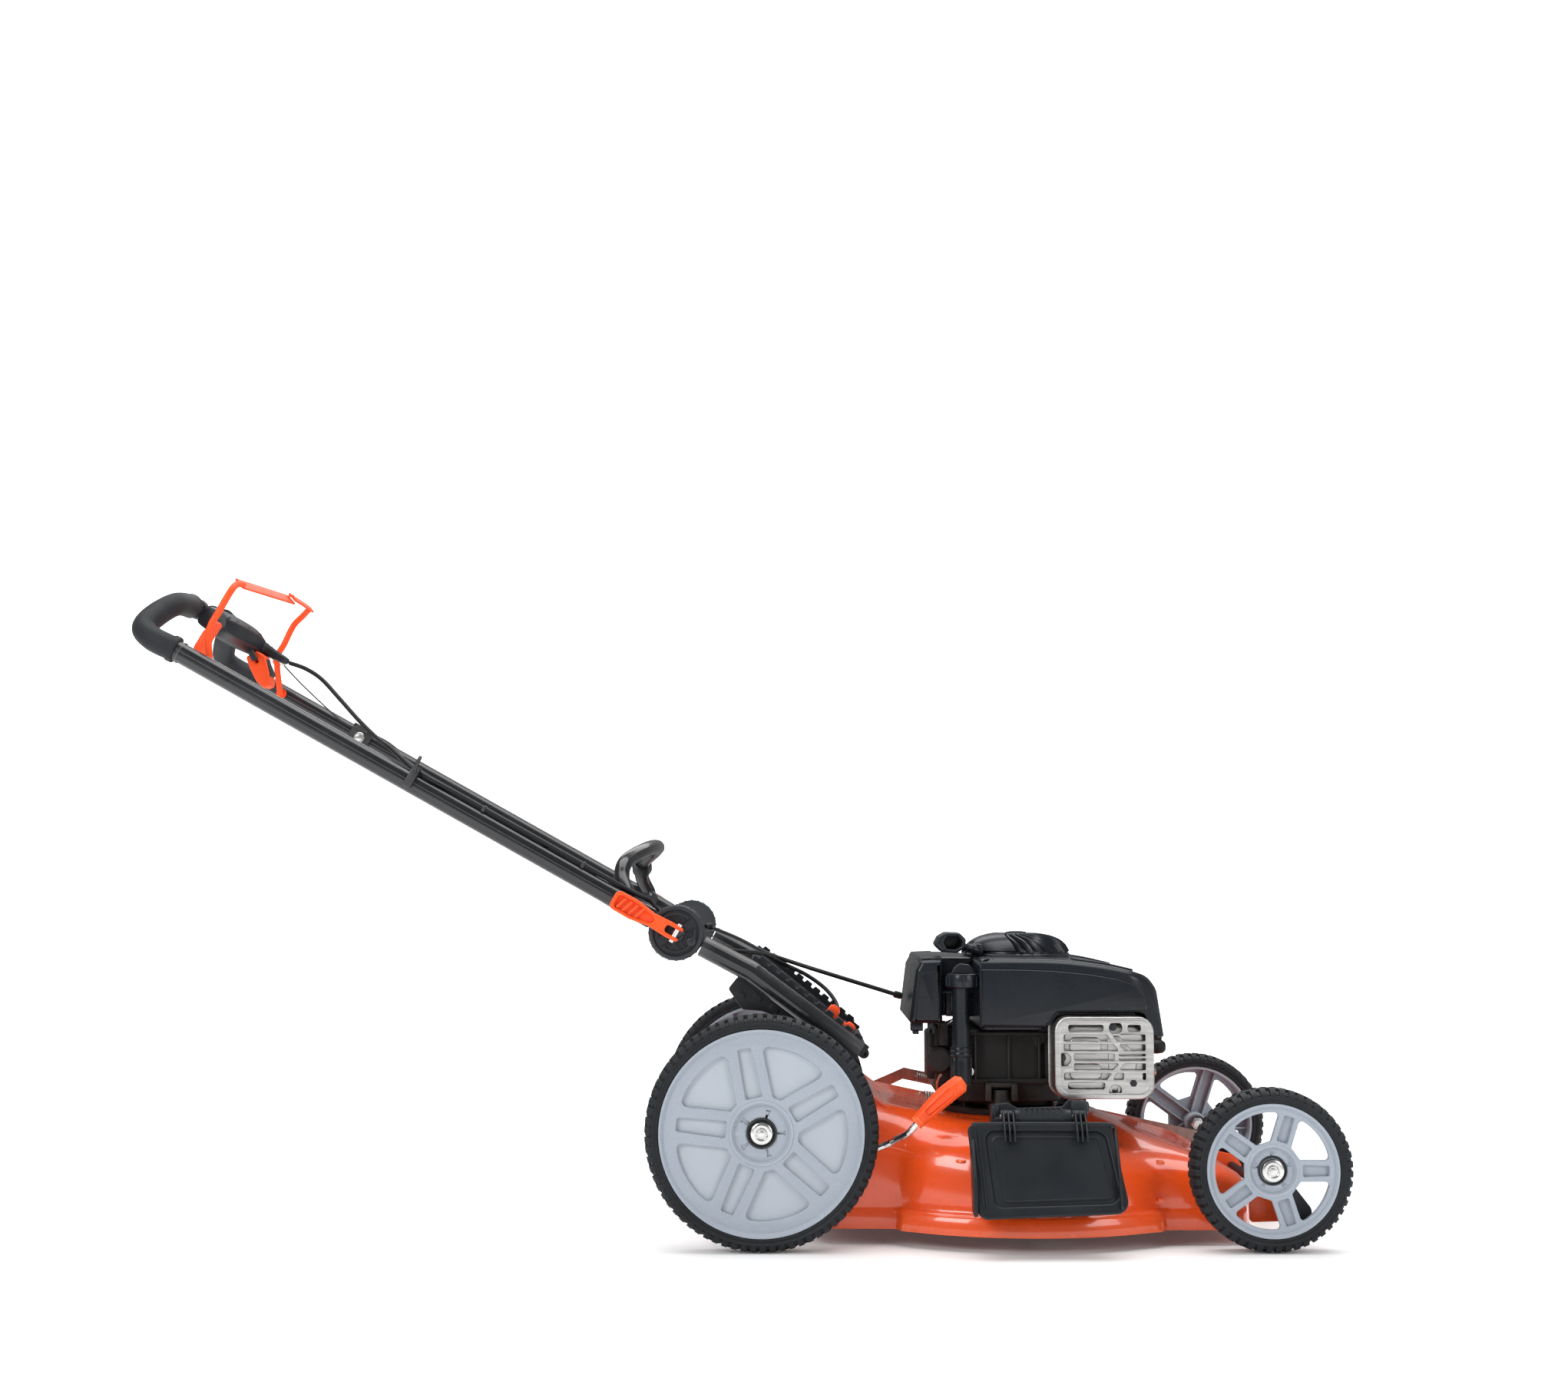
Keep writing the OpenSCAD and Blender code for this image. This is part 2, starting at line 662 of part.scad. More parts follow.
// Sheathed cables from the console and the clamp, along the right tube and down to the pivots
module upper_cables() {
    drive_run = [
        [-698, 88.5, 787.5], [-672, 78, 778], [-642, 50, 760], [-606, 6, 728], [-566, -60, 694], [-526, -130, 664],
        [-494, -190, 645], above(400, -219, 17.2), above(340, -219, 17.2), above(240, -219, 17.2),
        above(140, -219, 17.2), above(88, -218, 17.4), [-152, -207, 446], [-141, -185, 433], [-120, -180, 412],
        [-76, -183, 385.5]
    ];
    brake_run = [
        [-600, 190, 690], [-570, 160, 676], [-530, 30, 657], [-498, -120, 640], [-474, -192, 628],
        above(380, -211, 17.2), above(320, -211, 17.2), above(220, -211, 17.2), above(140, -211, 17.2),
        [-210, -197, 472], [-190, -176, 459], [-166, -100, 441], [-143, -10, 424], [-124, 80, 412],
        [-87, 144.5, 402.4]
    ];
    color(black) for (run = [drive_run, brake_run]) cable(run, 2.8, 4);
}

module brake_cable_lower() {
    color(black) cable([
        [-82, 150, 400.4], [-40, 108, 385], [2, 60, 366], [50, 22, 351], [100, 6, 336], [150, 0, 321], [194, 0, 307.5]
    ], 2.8, 4);
}

module drive_cable_lower() {
    color(black) cable([
        [-72, -183, 383], [-40, -150, 377], [0, -60, 369], [27, 0, 353], [58, 10, 338], [84, 4, 320],
        [99, -10, 303], [104, -25, 290]
    ], 2.4, 4);
}

module bail() {
    foot = on_tube(bail_t, 0);
    near = [[foot[0], -192, foot[2] - 3], [-740, -192, 800], [-713, -186, 858], [-708, -150, 872]];
    far = [[foot[0], 192, foot[2] - 3], [-742, 192, 802], [-718, 192, 856], [-698, 184, 872], [-690, 172, 878]];
    color(orange) {
        cable(near, 4.5, 4, 12, [1, 0, 0.1]);
        cable(far, 4.5, 4, 12, [1, 0, 0.1]);
        for (s = [-1, 1])
            rod([foot[0], s * 192, foot[2]], [foot[0], s * (tube_y + 18), foot[2]], 3);
        strap([-708, -157, 871], [-691, 58, 877]);
        strap([-686, 52, 879], [-690, 180, 878]);
    }
}

// Flat band between two points, lying across the grip direction
module strap(p, q) {
    v = q - p;
    translate(p) rotate([0, 0, atan2(v[1], v[0]) - 90])
        rotate([asin(v[2] / norm(v)), 0, 0]) translate([-6, 0, -5.5]) rotate([0, -35, 0]) cube([12, norm(v), 3.2]);
}

// Paddle under the console, hinged at its top edge
module paddle(x, y, z, w, l, lean) {
    color(orange) translate([x, y, z]) rotate([0, lean, 0]) difference() {
        union() {
            rotate([-90, 0, 0]) translate([0, 0, -w / 2]) cylinder(r = 5, h = w);
            translate([-3, -w / 2, -l]) cube([6, w, l]);
            translate([0, 0, -l]) rotate([-90, 0, 0]) translate([0, 0, -w / 2]) cylinder(r = 6, h = w);
        }
        rotate([-90, 0, 0]) translate([0, 0, -w]) cylinder(r = 2.5 + fit, h = 2 * w);
    }
}

module drive_lever() { paddle(-752, -118, 820, 34, 44, 30); }
module speed_lever() { paddle(-736, 62, 786, 34, 36, -18); }

// ---------- engine ----------

module engine_block() {
    color(black) difference() {
        union() {
            translate([spindle_x, 0, flange_z + 0.2]) cylinder(r = 104, h = 9);
            translate([spindle_x, 0, flange_z + 4]) cylinder(r = 90, h = 22);
            translate([0, 0, flange_z + 9.2]) linear_extrude(height = 104.8) round_rect(262, 412, -112, 104, 24);
            translate([0, 0, 186]) linear_extrude(height = 88) round_rect(400, 522, -78, 78, 12);
            for (k = [0 : 6]) translate([0, 0, 192 + 12 * k]) linear_extrude(height = 4)
                round_rect(404, 531, -89, 89, 14);
            translate([318, -112, 160]) cylinder(r = 17, h = 40);
            translate([265, -118, 170]) cylinder(r = 15, h = 54);
            translate([235, -60, 178]) cube([30, 120, 90]);
        }
        translate([spindle_x, 0, 100]) cylinder(r = crank_r + fit, h = 250);
        for (k = [0 : 2]) rotate_about_spindle(k) translate([88, 0, 140]) cylinder(r = 4.2, h = 60);
        for (k = [0 : 2]) rotate_about_spindle(k) translate([88, 0, flange_z + 9.2]) cylinder(r = 12, h = 34);
        translate([505, -30, 240]) rotate([0, 90, 0]) cylinder(r = 7, h = 40);
    }
}

module engine_bolts() {
    color(steel) for (k = [0 : 2]) rotate_about_spindle(k) translate([88, 0, 0]) {
        translate([0, 0, flange_z - 16]) cylinder(r = 4, h = 26);
        translate([0, 0, flange_z + 9.4]) cylinder(r = 8, h = 7, $fn = 6);
        translate([0, 0, flange_z - 10]) cylinder(r = 8, h = 7, $fn = 6);
    }
}

// Side outline of the engine cover
module cover_side(in) {
    polygon([
        [288 + in, 277 - in], [378, 277 - in], [386, 283], [390, 296 - in], [508, 296 - in], [537 - in, 261 - in],
        [530 - in, 300], [521 - in, 332], [503 - in, 347 - in], [470, 355 - in],
        [410, cover_top - 3 - in], [370, cover_top - in], [288 + in, cover_top - in]
    ]);
}

module engine_cover() {
    color(black) {
        difference() {
            intersection() {
                side_plate(-168, 165) cover_side(0);
                translate([0, 0, 200]) linear_extrude(height = 200) round_rect(200, 539, -168, 165, 38);
            }
            intersection() {
                side_plate(-164.5, 161.5) union() {
                    cover_side(3);
                    translate([292, 240]) square([82, 60]);
                    translate([360, 240]) square([150, 80]);
                    translate([500, 240]) square([34, 50]);
                }
                translate([0, 0, 200]) linear_extrude(height = 200) round_rect(200, 535.5, -164.5, 161.5, 35);
            }
            translate([355, 0, 350]) cylinder(r = 66, h = 30, $fn = 72);
        }
        // Roof and back over the oil filler
        difference() {
            translate([242, -50, 282]) cube([45.8, 214, cover_top - 282]);
            translate([243, -46, 270]) cube([50, 206, cover_top - 274]);
        }
    }
}

module air_filter_cover() {
    color(black) difference() {
        hull() {
            translate([0, 0, 278]) linear_extrude(height = 2) round_rect(196, 241.6, -132, 128, 12, $fn = 32);
            translate([0, 0, 350]) linear_extrude(height = 2) round_rect(204, 241.6, -126, 122, 12, $fn = 32);
            translate([0, 0, 362]) linear_extrude(height = 2) round_rect(210, 241.6, -120, 116, 10, $fn = 32);
        }
        translate([205, -118, 270]) cube([34, 232, 86]);
    }
}

module recoil_housing() {
    color(black) translate([355, 0, 0]) difference() {
        rotate_extrude($fn = 96) polygon([
            [0, 389], [38, 393], [40, 397], [56, 396], [66, 388], [72, 374], [73, cover_top + 0.2],
            [66, cover_top + 0.2], [65.8, 350], [63, 350], [63, 372], [57, 384], [40, 388], [0, 386]
        ]);
        for (k = [0 : 17]) if (k < 8 || k > 10) rotate(20 * k)
            translate([44, -2.2, 370]) cube([40, 4.4, 30]);
    }
}

module starter_grip() {
    color(black) {
        difference() {
            translate([256, -78, 385]) rotate([0, 12, 0]) scale([1.6, 1, 1]) cylinder(r = 12, h = 20, center = true);
            translate([253, -100, 384]) rotate([0, 12, 0]) cube([18, 60, 8], center = true);
            translate([253, -78, 384]) rotate([0, 12, 0]) cube([20, 30, 9], center = true);
        }
        rod([268, -78, 382], [286, -70, 376], 6.5);
    }
}

module oil_tube() {
    color(black) difference() {
        union() {
            translate([265, -145, 224]) cylinder(r = 9, h = 103);
            translate([265, -145, 238]) cylinder(r = 12, h = 12);
            translate([265, -145, 210]) cylinder(r = 11.5, h = 20);
            translate([256, -145, 203]) cube([18, 11.6, 26]);
        }
        translate([265, -145, 216]) cylinder(r = 6.5, h = 120);
    }
}

// Filler cap with its dipstick
module oil_cap() {
    color(black) {
        translate([267, -145, 327.4]) cylinder(r = 20, h = 18);
        translate([267, -145, 345]) intersection() {
            cylinder(r = 17, h = 15);
            cube([40, 11, 40], center = true);
        }
    }
    color(steel) translate([265, -145, 220]) cylinder(r = 2, h = 110);
}

module fuel_cap() {
    color(black) {
        translate([330, 118, cover_top + 0.3]) cylinder(r = 22, h = 15, $fn = 48);
        translate([330, 118, cover_top + 0.3]) cylinder(r = 18, h = 18);
    }
}

guard = [384, 514, 185, 292];

module muffler() {
    color(steel) translate([0, -121, 0]) rotate([90, 0, 0]) linear_extrude(height = 56)
        round_rect(guard[0] + 14, guard[1] - 14, guard[2] + 12, guard[3] - 14, 18);
    color(steel) translate([430, -121.2, 232]) rotate([-90, 0, 0]) cylinder(r = 11, h = 30.4);
}

module muffler_guard() {
    color(steel) difference() {
        translate([0, -132, 0]) rotate([90, 0, 0]) linear_extrude(height = 62)
            round_rect(guard[0], guard[1], guard[2], guard[3], 18);
        translate([0, -120, 0]) rotate([90, 0, 0]) linear_extrude(height = 71.6)
            round_rect(guard[0] + 2, guard[1] - 2, guard[2] + 2, guard[3] - 2, 16);
        for (k = [0 : 4]) translate([guard[0] + 14, -200, guard[2] + 18 + 17.5 * k]) cube([102, 30, 9]);
        for (h = [[80, 92], [11, 51], [80, 10]])
            translate([guard[0] + h[0], -190, guard[2] + h[1]]) rotate([90, 0, 0]) cylinder(r = 9, h = 20);
    }
}

module spark_plug() {
    color(black) translate([531.4, -30, 240]) rotate([0, 90, 0]) cylinder(r = 9, h = 24);
    color(steel) translate([507, -30, 240]) rotate([0, 90, 0]) cylinder(r = 6.9, h = 25);
}

// ---------- blade drive ----------

module crankshaft() {
    color(steel) difference() {
        union() {
            translate([spindle_x, 0, blade_z + 4]) cylinder(r = crank_r, h = 252);
            translate([spindle_x, 0, blade_z + 3]) cylinder(r = 20, h = 24);
            translate([spindle_x - 30, -16, blade_z + 3]) cube([60, 32, 6]);
        }
        translate([spindle_x, 0, blade_z]) cylinder(r = 4.8, h = 34);
    }
}

module flywheel() {
    color(steel) difference() {
        union() {
            translate([spindle_x, 0, 296]) cylinder(r = 55, h = 14);
            for (k = [0 : 15]) translate([spindle_x, 0, 310]) rotate(22.5 * k)
                translate([30, -1, -1]) cube([23, 2, 22]);
        }
        translate([spindle_x, 0, 290]) cylinder(r = crank_r + 0.02, h = 60);
    }
}

module blade() {
    color(steel) difference() {
        union() {
            translate([spindle_x - 27, -blade_l / 2, blade_z]) cube([54, blade_l, 3]);
            for (s = [-1, 1]) translate([spindle_x, s * (blade_l / 2 - 45), blade_z])
                rotate([0, s * 25, 0]) translate([s > 0 ? -36 : 0, -44, 0.2]) cube([36, 88, 3]);
        }
        translate([spindle_x, 0, blade_z - 5]) cylinder(r = 5, h = 20);
    }
}

module blade_bolt() {
    color(steel) translate([spindle_x, 0, 0]) {
        translate([0, 0, blade_z - 4.2]) cylinder(r = 17, h = 4);
        translate([0, 0, blade_z - 11.5]) cylinder(r = 9, h = 7.5, $fn = 6);
        translate([0, 0, blade_z - 5]) cylinder(r = 4.7, h = 36);
    }
}

// ---------- discharge chute ----------

chute_x0 = 303;
chute_x1 = 420;
chute_axis = [-243, 168];

module chute_hinge() {
    color(black) difference() {
        union() {
            translate([chute_x0 + 3, -246, 160]) cube([chute_x1 - chute_x0 - 6, 40, 12]);
            for (x = [chute_x0 + 22, chute_x1 - 32])
                translate([x, chute_axis[0], chute_axis[1]]) rotate([0, 90, 0]) cylinder(r = 10, h = 10);
            translate([chute_x0 + 3, -226, 147]) cube([chute_x1 - chute_x0 - 6, 8, 18]);
            translate([chute_x0 + 36, -236, 170]) cube([chute_x1 - chute_x0 - 72, 26, 12]);
        }
        translate([chute_x0 - 5, chute_axis[0], chute_axis[1]]) rotate([0, 90, 0]) cylinder(r = 3 + 0.02, h = 140);
        translate([chute_x0 + 32.4, -262, 156]) cube([chute_x1 - chute_x0 - 64.8, 32, 30]);
        for (x = [chute_x0 - 5, chute_x1 - 21.6]) translate([x, -262, 150]) cube([26.6, 32, 30]);
    }
}

module chute_pin() {
    color(steel) translate([chute_x0 + 3, chute_axis[0], chute_axis[1]]) rotate([0, 90, 0])
        cylinder(r = 3, h = chute_x1 - chute_x0 - 6);
}

module chute_spring() {
    color(steel) for (k = [0 : 7])
        translate([chute_x0 + 42 + 4 * k, chute_axis[0], chute_axis[1]]) rotate([0, 90, 0])
            rotate_extrude($fn = 24) translate([5.2, 0]) circle(r = 1.2, $fn = 16);
}

// Deflector that hangs over the discharge opening
module chute_flap() {
    color(black) difference() {
        union() {
            for (x = [chute_x0 + 4, chute_x1 - 21])
                translate([x, chute_axis[0], chute_axis[1]]) rotate([0, 90, 0]) cylinder(r = 9, h = 17);
            for (x = [chute_x0 + 4, chute_x1 - 21])
                side_wall(x, 17, [[-252, 168], [-234, 163], [-250, 146], [-270, 146], [-262, 158]]);
            side_wall(266, 192, [[-262, 160], [-252, 152], [-313, 48], [-323, 52], [-305, 100]]);
            side_wall(266, 5, [[-262, 160], [-248, 148], [-284, 54], [-323, 52], [-305, 100]]);
            side_wall(453, 5, [[-262, 160], [-248, 148], [-284, 54], [-323, 52], [-305, 100]]);
        }
        translate([chute_x0 - 5, chute_axis[0], chute_axis[1]]) rotate([0, 90, 0]) cylinder(r = 3 + fit, h = 140);
    }
}

// A shape drawn in the Y-Z plane, extruded along X
module side_wall(x, w, points) {
    translate([x, 0, 0]) rotate([90, 0, 90]) linear_extrude(height = w) polygon(points);
}

module rear_rim_right() { rear_rim(-1); }
module rear_rim_left() { rear_rim(1); }
module front_rim_right() { front_rim(-1); }
module front_rim_left() { front_rim(1); }
module rear_tyre_right() { tyre(0, rear_r, 131.2, -1); }
module rear_tyre_left() { tyre(0, rear_r, 131.2, 1); }
module front_tyre_right() { tyre(wheelbase, front_r, 84.5, -1); }
module front_tyre_left() { tyre(wheelbase, front_r, 84.5, 1); }

deck();
handle_brackets();
axle_brackets();
lower_tubes();
lower_discs();
pivot_bolts();
engine_block();
engine_cover();
air_filter_cover();
recoil_housing();
oil_tube();
muffler();
muffler_guard();
spark_plug();
engine_bolts();
fuel_cap();
chute_hinge();
chute_pin();
chute_spring();
brake_cable_lower();
drive_cable_lower();
rear_door();
door_latch();
upper_tube_right();
upper_tube_left();
top_bar();
grips();
console();
hoop_brace();
cable_guides();
bail_wire();
upper_cables();
upper_discs();
bail();
drive_lever();
speed_lever();
cam_lever_right();
cam_lever_left();
chute_flap();
crankshaft();
flywheel();
blade();
blade_bolt();
starter_grip();
oil_cap();
rear_axle();
height_lever();
lever_grip();
rear_wheel_bolts();
front_axle();
front_wheel_bolts();
link_strip();
rear_rim_right();
rear_rim_left();
front_rim_right();
front_rim_left();
rear_tyre_right();
rear_tyre_left();
front_tyre_right();
front_tyre_left();
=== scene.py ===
"""Walk-behind push mower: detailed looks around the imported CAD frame.

Shapes are written in millimetres. The camera, the lamps, the shading distances and the modifiers' own
sizes are in metres, as Blender keeps them.
"""
import json
import math

import bmesh
import bpy
from mathutils import Matrix, Vector


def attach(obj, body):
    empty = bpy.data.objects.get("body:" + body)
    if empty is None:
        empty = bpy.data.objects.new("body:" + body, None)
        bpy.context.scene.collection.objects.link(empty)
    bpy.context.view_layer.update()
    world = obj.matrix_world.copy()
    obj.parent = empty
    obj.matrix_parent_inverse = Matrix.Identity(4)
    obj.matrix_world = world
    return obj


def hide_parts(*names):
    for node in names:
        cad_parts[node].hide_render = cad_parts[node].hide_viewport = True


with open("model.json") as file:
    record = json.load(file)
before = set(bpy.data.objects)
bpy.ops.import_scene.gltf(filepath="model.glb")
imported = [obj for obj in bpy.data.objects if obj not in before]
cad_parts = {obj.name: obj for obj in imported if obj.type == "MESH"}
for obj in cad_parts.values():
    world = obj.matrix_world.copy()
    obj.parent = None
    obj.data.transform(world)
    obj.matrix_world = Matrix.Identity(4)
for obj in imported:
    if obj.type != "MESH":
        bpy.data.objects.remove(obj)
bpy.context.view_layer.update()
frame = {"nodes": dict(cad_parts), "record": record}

# ---------- camera ----------

camera = bpy.data.objects.new("camera", bpy.data.cameras.new("camera"))
camera.data.lens = 48.11
camera.data.sensor_width = 36
camera.location = (0.034, -2.973, 0.4828)
camera.rotation_euler = (math.pi / 2 + 0.082, 0, 0.002)
bpy.context.collection.objects.link(camera)
bpy.context.scene.camera = camera

# ---------- sizes shared with the CAD part ----------

WHEELBASE, REAR_R, FRONT_R, TRACK, TYRE_W = 650, 150, 103.4, 275.4, 44.4
PIVOT = Vector((-112, 0, 403))
SLOPE = math.radians(29.2)
ALONG = Vector((-math.cos(SLOPE), 0, math.sin(SLOPE)))
NORMAL = Vector((math.sin(SLOPE), 0, math.cos(SLOPE)))
TUBE_Y, BAIL_T = 215, 715


def on_tube(t, y, h=0):
    """A point t along the upper handle tubes from the pivot, h above their plane."""
    p = PIVOT + ALONG * t + NORMAL * h
    return Vector((p.x, y, p.z))


# ---------- materials ----------


def material(name, colour, rough, metal=0.0, coat=0.0, sheen=0.0, bump=0.0, bump_scale=400.0, mottle=0.06,
             mottle_scale=9.0, rough_span=0.06, streak=None, dust=0.0, wear=None, spec=0.5, flakes=0.0):
    """A procedural surface: colour mottle, dust, worn edges, varied roughness and a fine bump."""
    m = bpy.data.materials.new(name)
    m.use_nodes = True
    nt = m.node_tree
    bsdf = nt.nodes["Principled BSDF"]
    bsdf.inputs["Metallic"].default_value = metal
    bsdf.inputs["Coat Weight"].default_value = coat
    bsdf.inputs["Coat Roughness"].default_value = 0.06
    bsdf.inputs["Sheen Weight"].default_value = sheen
    bsdf.inputs["Specular IOR Level"].default_value = spec
    coords = nt.nodes.new("ShaderNodeTexCoord")
    place = nt.nodes.new("ShaderNodeMapping")
    place.inputs["Scale"].default_value = streak or (1, 1, 1)
    nt.links.new(coords.outputs["Object"], place.inputs["Vector"])

    def noise(scale, detail, vector=place):
        n = nt.nodes.new("ShaderNodeTexNoise")
        n.inputs["Scale"].default_value = scale
        n.inputs["Detail"].default_value = detail
        nt.links.new(vector.outputs["Vector"], n.inputs["Vector"])
        return n

    def ramp(source, low, high, a, b):
        r = nt.nodes.new("ShaderNodeMapRange")
        r.inputs["From Min"].default_value = low
        r.inputs["From Max"].default_value = high
        r.inputs["To Min"].default_value = a
        r.inputs["To Max"].default_value = b
        nt.links.new(source, r.inputs["Value"])
        return r.outputs["Result"]

    def mix(factor, a, b):
        x = nt.nodes.new("ShaderNodeMix")
        x.data_type = "RGBA"
        nt.links.new(factor, x.inputs["Factor"])
        for socket, value in ((x.inputs["A"], a), (x.inputs["B"], b)):
            if isinstance(value, (tuple, list)):
                socket.default_value = (*value, 1)
            else:
                nt.links.new(value, socket)
        return x.outputs["Result"]

    patches = noise(mottle_scale, 4)
    darker = tuple(c * (1 - mottle) for c in colour)
    lighter = tuple(min(1, c * (1 + mottle)) for c in colour)
    tint = mix(ramp(patches.outputs["Fac"], 0.35, 0.65, 0, 1), darker, lighter)
    fine = noise(bump_scale, 3)
    if flakes:
        tint = mix(
            ramp(fine.outputs["Fac"], 0.45, 0.72, 0, flakes), tint,
            tuple(min(1, c * 1.5 + 0.02) for c in colour)
        )
    if wear or dust:
        geometry = nt.nodes.new("ShaderNodeNewGeometry")
    if wear:
        edge = ramp(geometry.outputs["Pointiness"], 0.53, 0.60, 0, 0.75)
        tint = mix(edge, tint, wear)
    if dust:
        up = nt.nodes.new("ShaderNodeSeparateXYZ")
        nt.links.new(geometry.outputs["Normal"], up.inputs["Vector"])
        tint = mix(ramp(up.outputs["Z"], 0.2, 1.0, 0, dust), tint, (0.34, 0.33, 0.31))
    nt.links.new(tint, bsdf.inputs["Base Color"])
    smudge = noise(mottle_scale * 3.1, 5)
    nt.links.new(
        ramp(smudge.outputs["Fac"], 0.3, 0.7, max(0.02, rough - rough_span), rough + rough_span),
        bsdf.inputs["Roughness"]
    )
    if bump:
        b = nt.nodes.new("ShaderNodeBump")
        b.inputs["Strength"].default_value = bump
        b.inputs["Distance"].default_value = 0.0006
        nt.links.new(fine.outputs["Fac"], b.inputs["Height"])
        nt.links.new(b.outputs["Normal"], bsdf.inputs["Normal"])
    return m


SURFACES = {
    "deck_orange": dict(
        colour=(0.83, 0.082, 0.010), rough=0.26, coat=0.75, bump=0.05, bump_scale=260, mottle=0.03,
        wear=(0.86, 0.14, 0.03), rough_span=0.05, spec=0.35
    ),
    "bracket_orange": dict(
        colour=(0.80, 0.085, 0.012), rough=0.32, coat=0.1, bump=0.08, bump_scale=300, spec=0.3
    ),
    "bracket_black": dict(
        colour=(0.018, 0.019, 0.022), rough=0.38, bump=0.15, bump_scale=700, wear=(0.07, 0.07, 0.075),
        spec=0.22
    ),
    "tube_black": dict(
        colour=(0.011, 0.012, 0.014), rough=0.24, coat=0.35, bump=0.06, bump_scale=900, mottle=0.15,
        wear=(0.05, 0.05, 0.055), spec=0.4
    ),
    "disc_black": dict(
        colour=(0.018, 0.020, 0.024), rough=0.42, bump=0.2, bump_scale=1100, mottle=0.12,
        wear=(0.06, 0.065, 0.07), spec=0.28
    ),
    "bright_steel": dict(
        colour=(0.66, 0.66, 0.65), rough=0.24, metal=1.0, bump=0.06, bump_scale=500, streak=(1, 1, 6),
        mottle=0.08
    ),
    "engine_casting": dict(
        colour=(0.018, 0.0175, 0.017), rough=0.52, metal=0.15, bump=0.5, bump_scale=420, mottle=0.25,
        wear=(0.06, 0.058, 0.055), spec=0.28
    ),
    "cover_black": dict(
        colour=(0.010, 0.0125, 0.017), rough=0.28, bump=0.03, bump_scale=1500, mottle=0.10, rough_span=0.04,
        spec=0.32
    ),
    "brushed_guard": dict(
        colour=(0.50, 0.495, 0.485), rough=0.36, metal=1.0, bump=0.22, bump_scale=160, streak=(1, 1, 22),
        mottle=0.12, mottle_scale=18, rough_span=0.10
    ), "cable_black": dict(colour=(0.010, 0.011, 0.013), rough=0.40, bump=0.1, bump_scale=1200, spec=0.25),
    "flap_black": dict(
        colour=(0.012, 0.0145, 0.018), rough=0.40, bump=0.12, bump_scale=1400, mottle=0.12,
        wear=(0.035, 0.04, 0.045), spec=0.26
    ),
    "lever_orange": dict(
        colour=(0.86, 0.085, 0.014), rough=0.335, bump=0.10, bump_scale=900, mottle=0.05,
        wear=(0.95, 0.19, 0.06), spec=0.3
    ),
    "grip_foam": dict(
        colour=(0.014, 0.016, 0.019), rough=0.56, sheen=0.06, bump=0.25, bump_scale=1600, mottle=0.14,
        spec=0.2
    ),
    "console_black": dict(
        colour=(0.014, 0.016, 0.020), rough=0.34, bump=0.08, bump_scale=1300, mottle=0.10,
        wear=(0.04, 0.045, 0.05), spec=0.25
    ),
    "bail_orange": dict(
        colour=(0.84, 0.075, 0.012), rough=0.42, bump=0.05, bump_scale=500, mottle=0.04, spec=0.25
    ),
    "blade_steel": dict(
        colour=(0.045, 0.045, 0.047), rough=0.40, metal=0.5, bump=0.3, bump_scale=300, streak=(1, 4, 1)
    ),
    "strip_zinc": dict(
        colour=(0.33, 0.25, 0.225), rough=0.40, metal=0.85, bump=0.2, bump_scale=300, streak=(6, 1, 1),
        mottle=0.14, mottle_scale=22
    ),
    "rim_grey": dict(
        colour=(0.335, 0.375, 0.430), rough=0.46, bump=0.32, bump_scale=900, mottle=0.035, flakes=0.35,
        wear=(0.46, 0.50, 0.55), spec=0.3
    ),
    "tyre_rubber": dict(
        colour=(0.016, 0.018, 0.021), rough=0.60, bump=0.45, bump_scale=700, mottle=0.20, dust=0.06,
        wear=(0.045, 0.05, 0.055), spec=0.2
    ), "insert_black": dict(colour=(0.016, 0.018, 0.020), rough=0.55, bump=0.4, bump_scale=1500),
}
MATERIALS = {name: material(name, **look) for name, look in SURFACES.items()}

# ---------- mesh helpers ----------

RAD = math.radians


def show(name, data):
    """An object in the scene that holds the data."""
    ob = bpy.data.objects.new(name, data)
    bpy.context.collection.objects.link(ob)
    return ob


def shade(mesh, sharp):
    """Smooth shading, except across edges sharper than the angle."""
    mesh.shade_smooth()
    mesh.set_sharp_from_angle(angle=RAD(sharp))


def weld(mesh, slivers=False):
    """Joins points that meet, drops zero-size faces if asked, and turns the faces outwards."""
    bm = bmesh.new()
    bm.from_mesh(mesh)
    bmesh.ops.remove_doubles(bm, verts=bm.verts, dist=1e-6)
    if slivers:
        bmesh.ops.dissolve_degenerate(bm, edges=bm.edges, dist=1e-7)
    bmesh.ops.recalc_face_normals(bm, faces=bm.faces)
    bm.to_mesh(mesh)
    bm.free()


def add(name, verts, faces, sharp=35, slivers=False):
    """A smooth-shaded mesh object from points in millimetres."""
    mesh = bpy.data.meshes.new(name)
    mesh.from_pydata([tuple(Vector(v) * 0.001) for v in verts], [], faces)
    weld(mesh, slivers)
    shade(mesh, sharp)
    return show(name, mesh)


def soften(ob, width):
    """Rounds the sharp edges by width millimetres and keeps the flats flat."""
    m = ob.modifiers.new("edge", "BEVEL")
    m.width = width * 0.001
    m.segments = 2
    m.limit_method = "ANGLE"
    m.angle_limit = RAD(40)
    m.harden_normals = False
    return bake(ob, 38)


def bake(ob, sharp=35):
    """Applies an object's modifiers to its mesh."""
    deps = bpy.context.evaluated_depsgraph_get()
    mesh = bpy.data.meshes.new_from_object(ob.evaluated_get(deps))
    ob.modifiers.clear()
    if ob.type == "MESH":
        ob.data = mesh
        target = ob
    else:
        target = show(ob.name, mesh)
        target.matrix_world = ob.matrix_world
        name = ob.name
        bpy.data.objects.remove(ob)
        target.name = name
    shade(mesh, sharp)
    return target


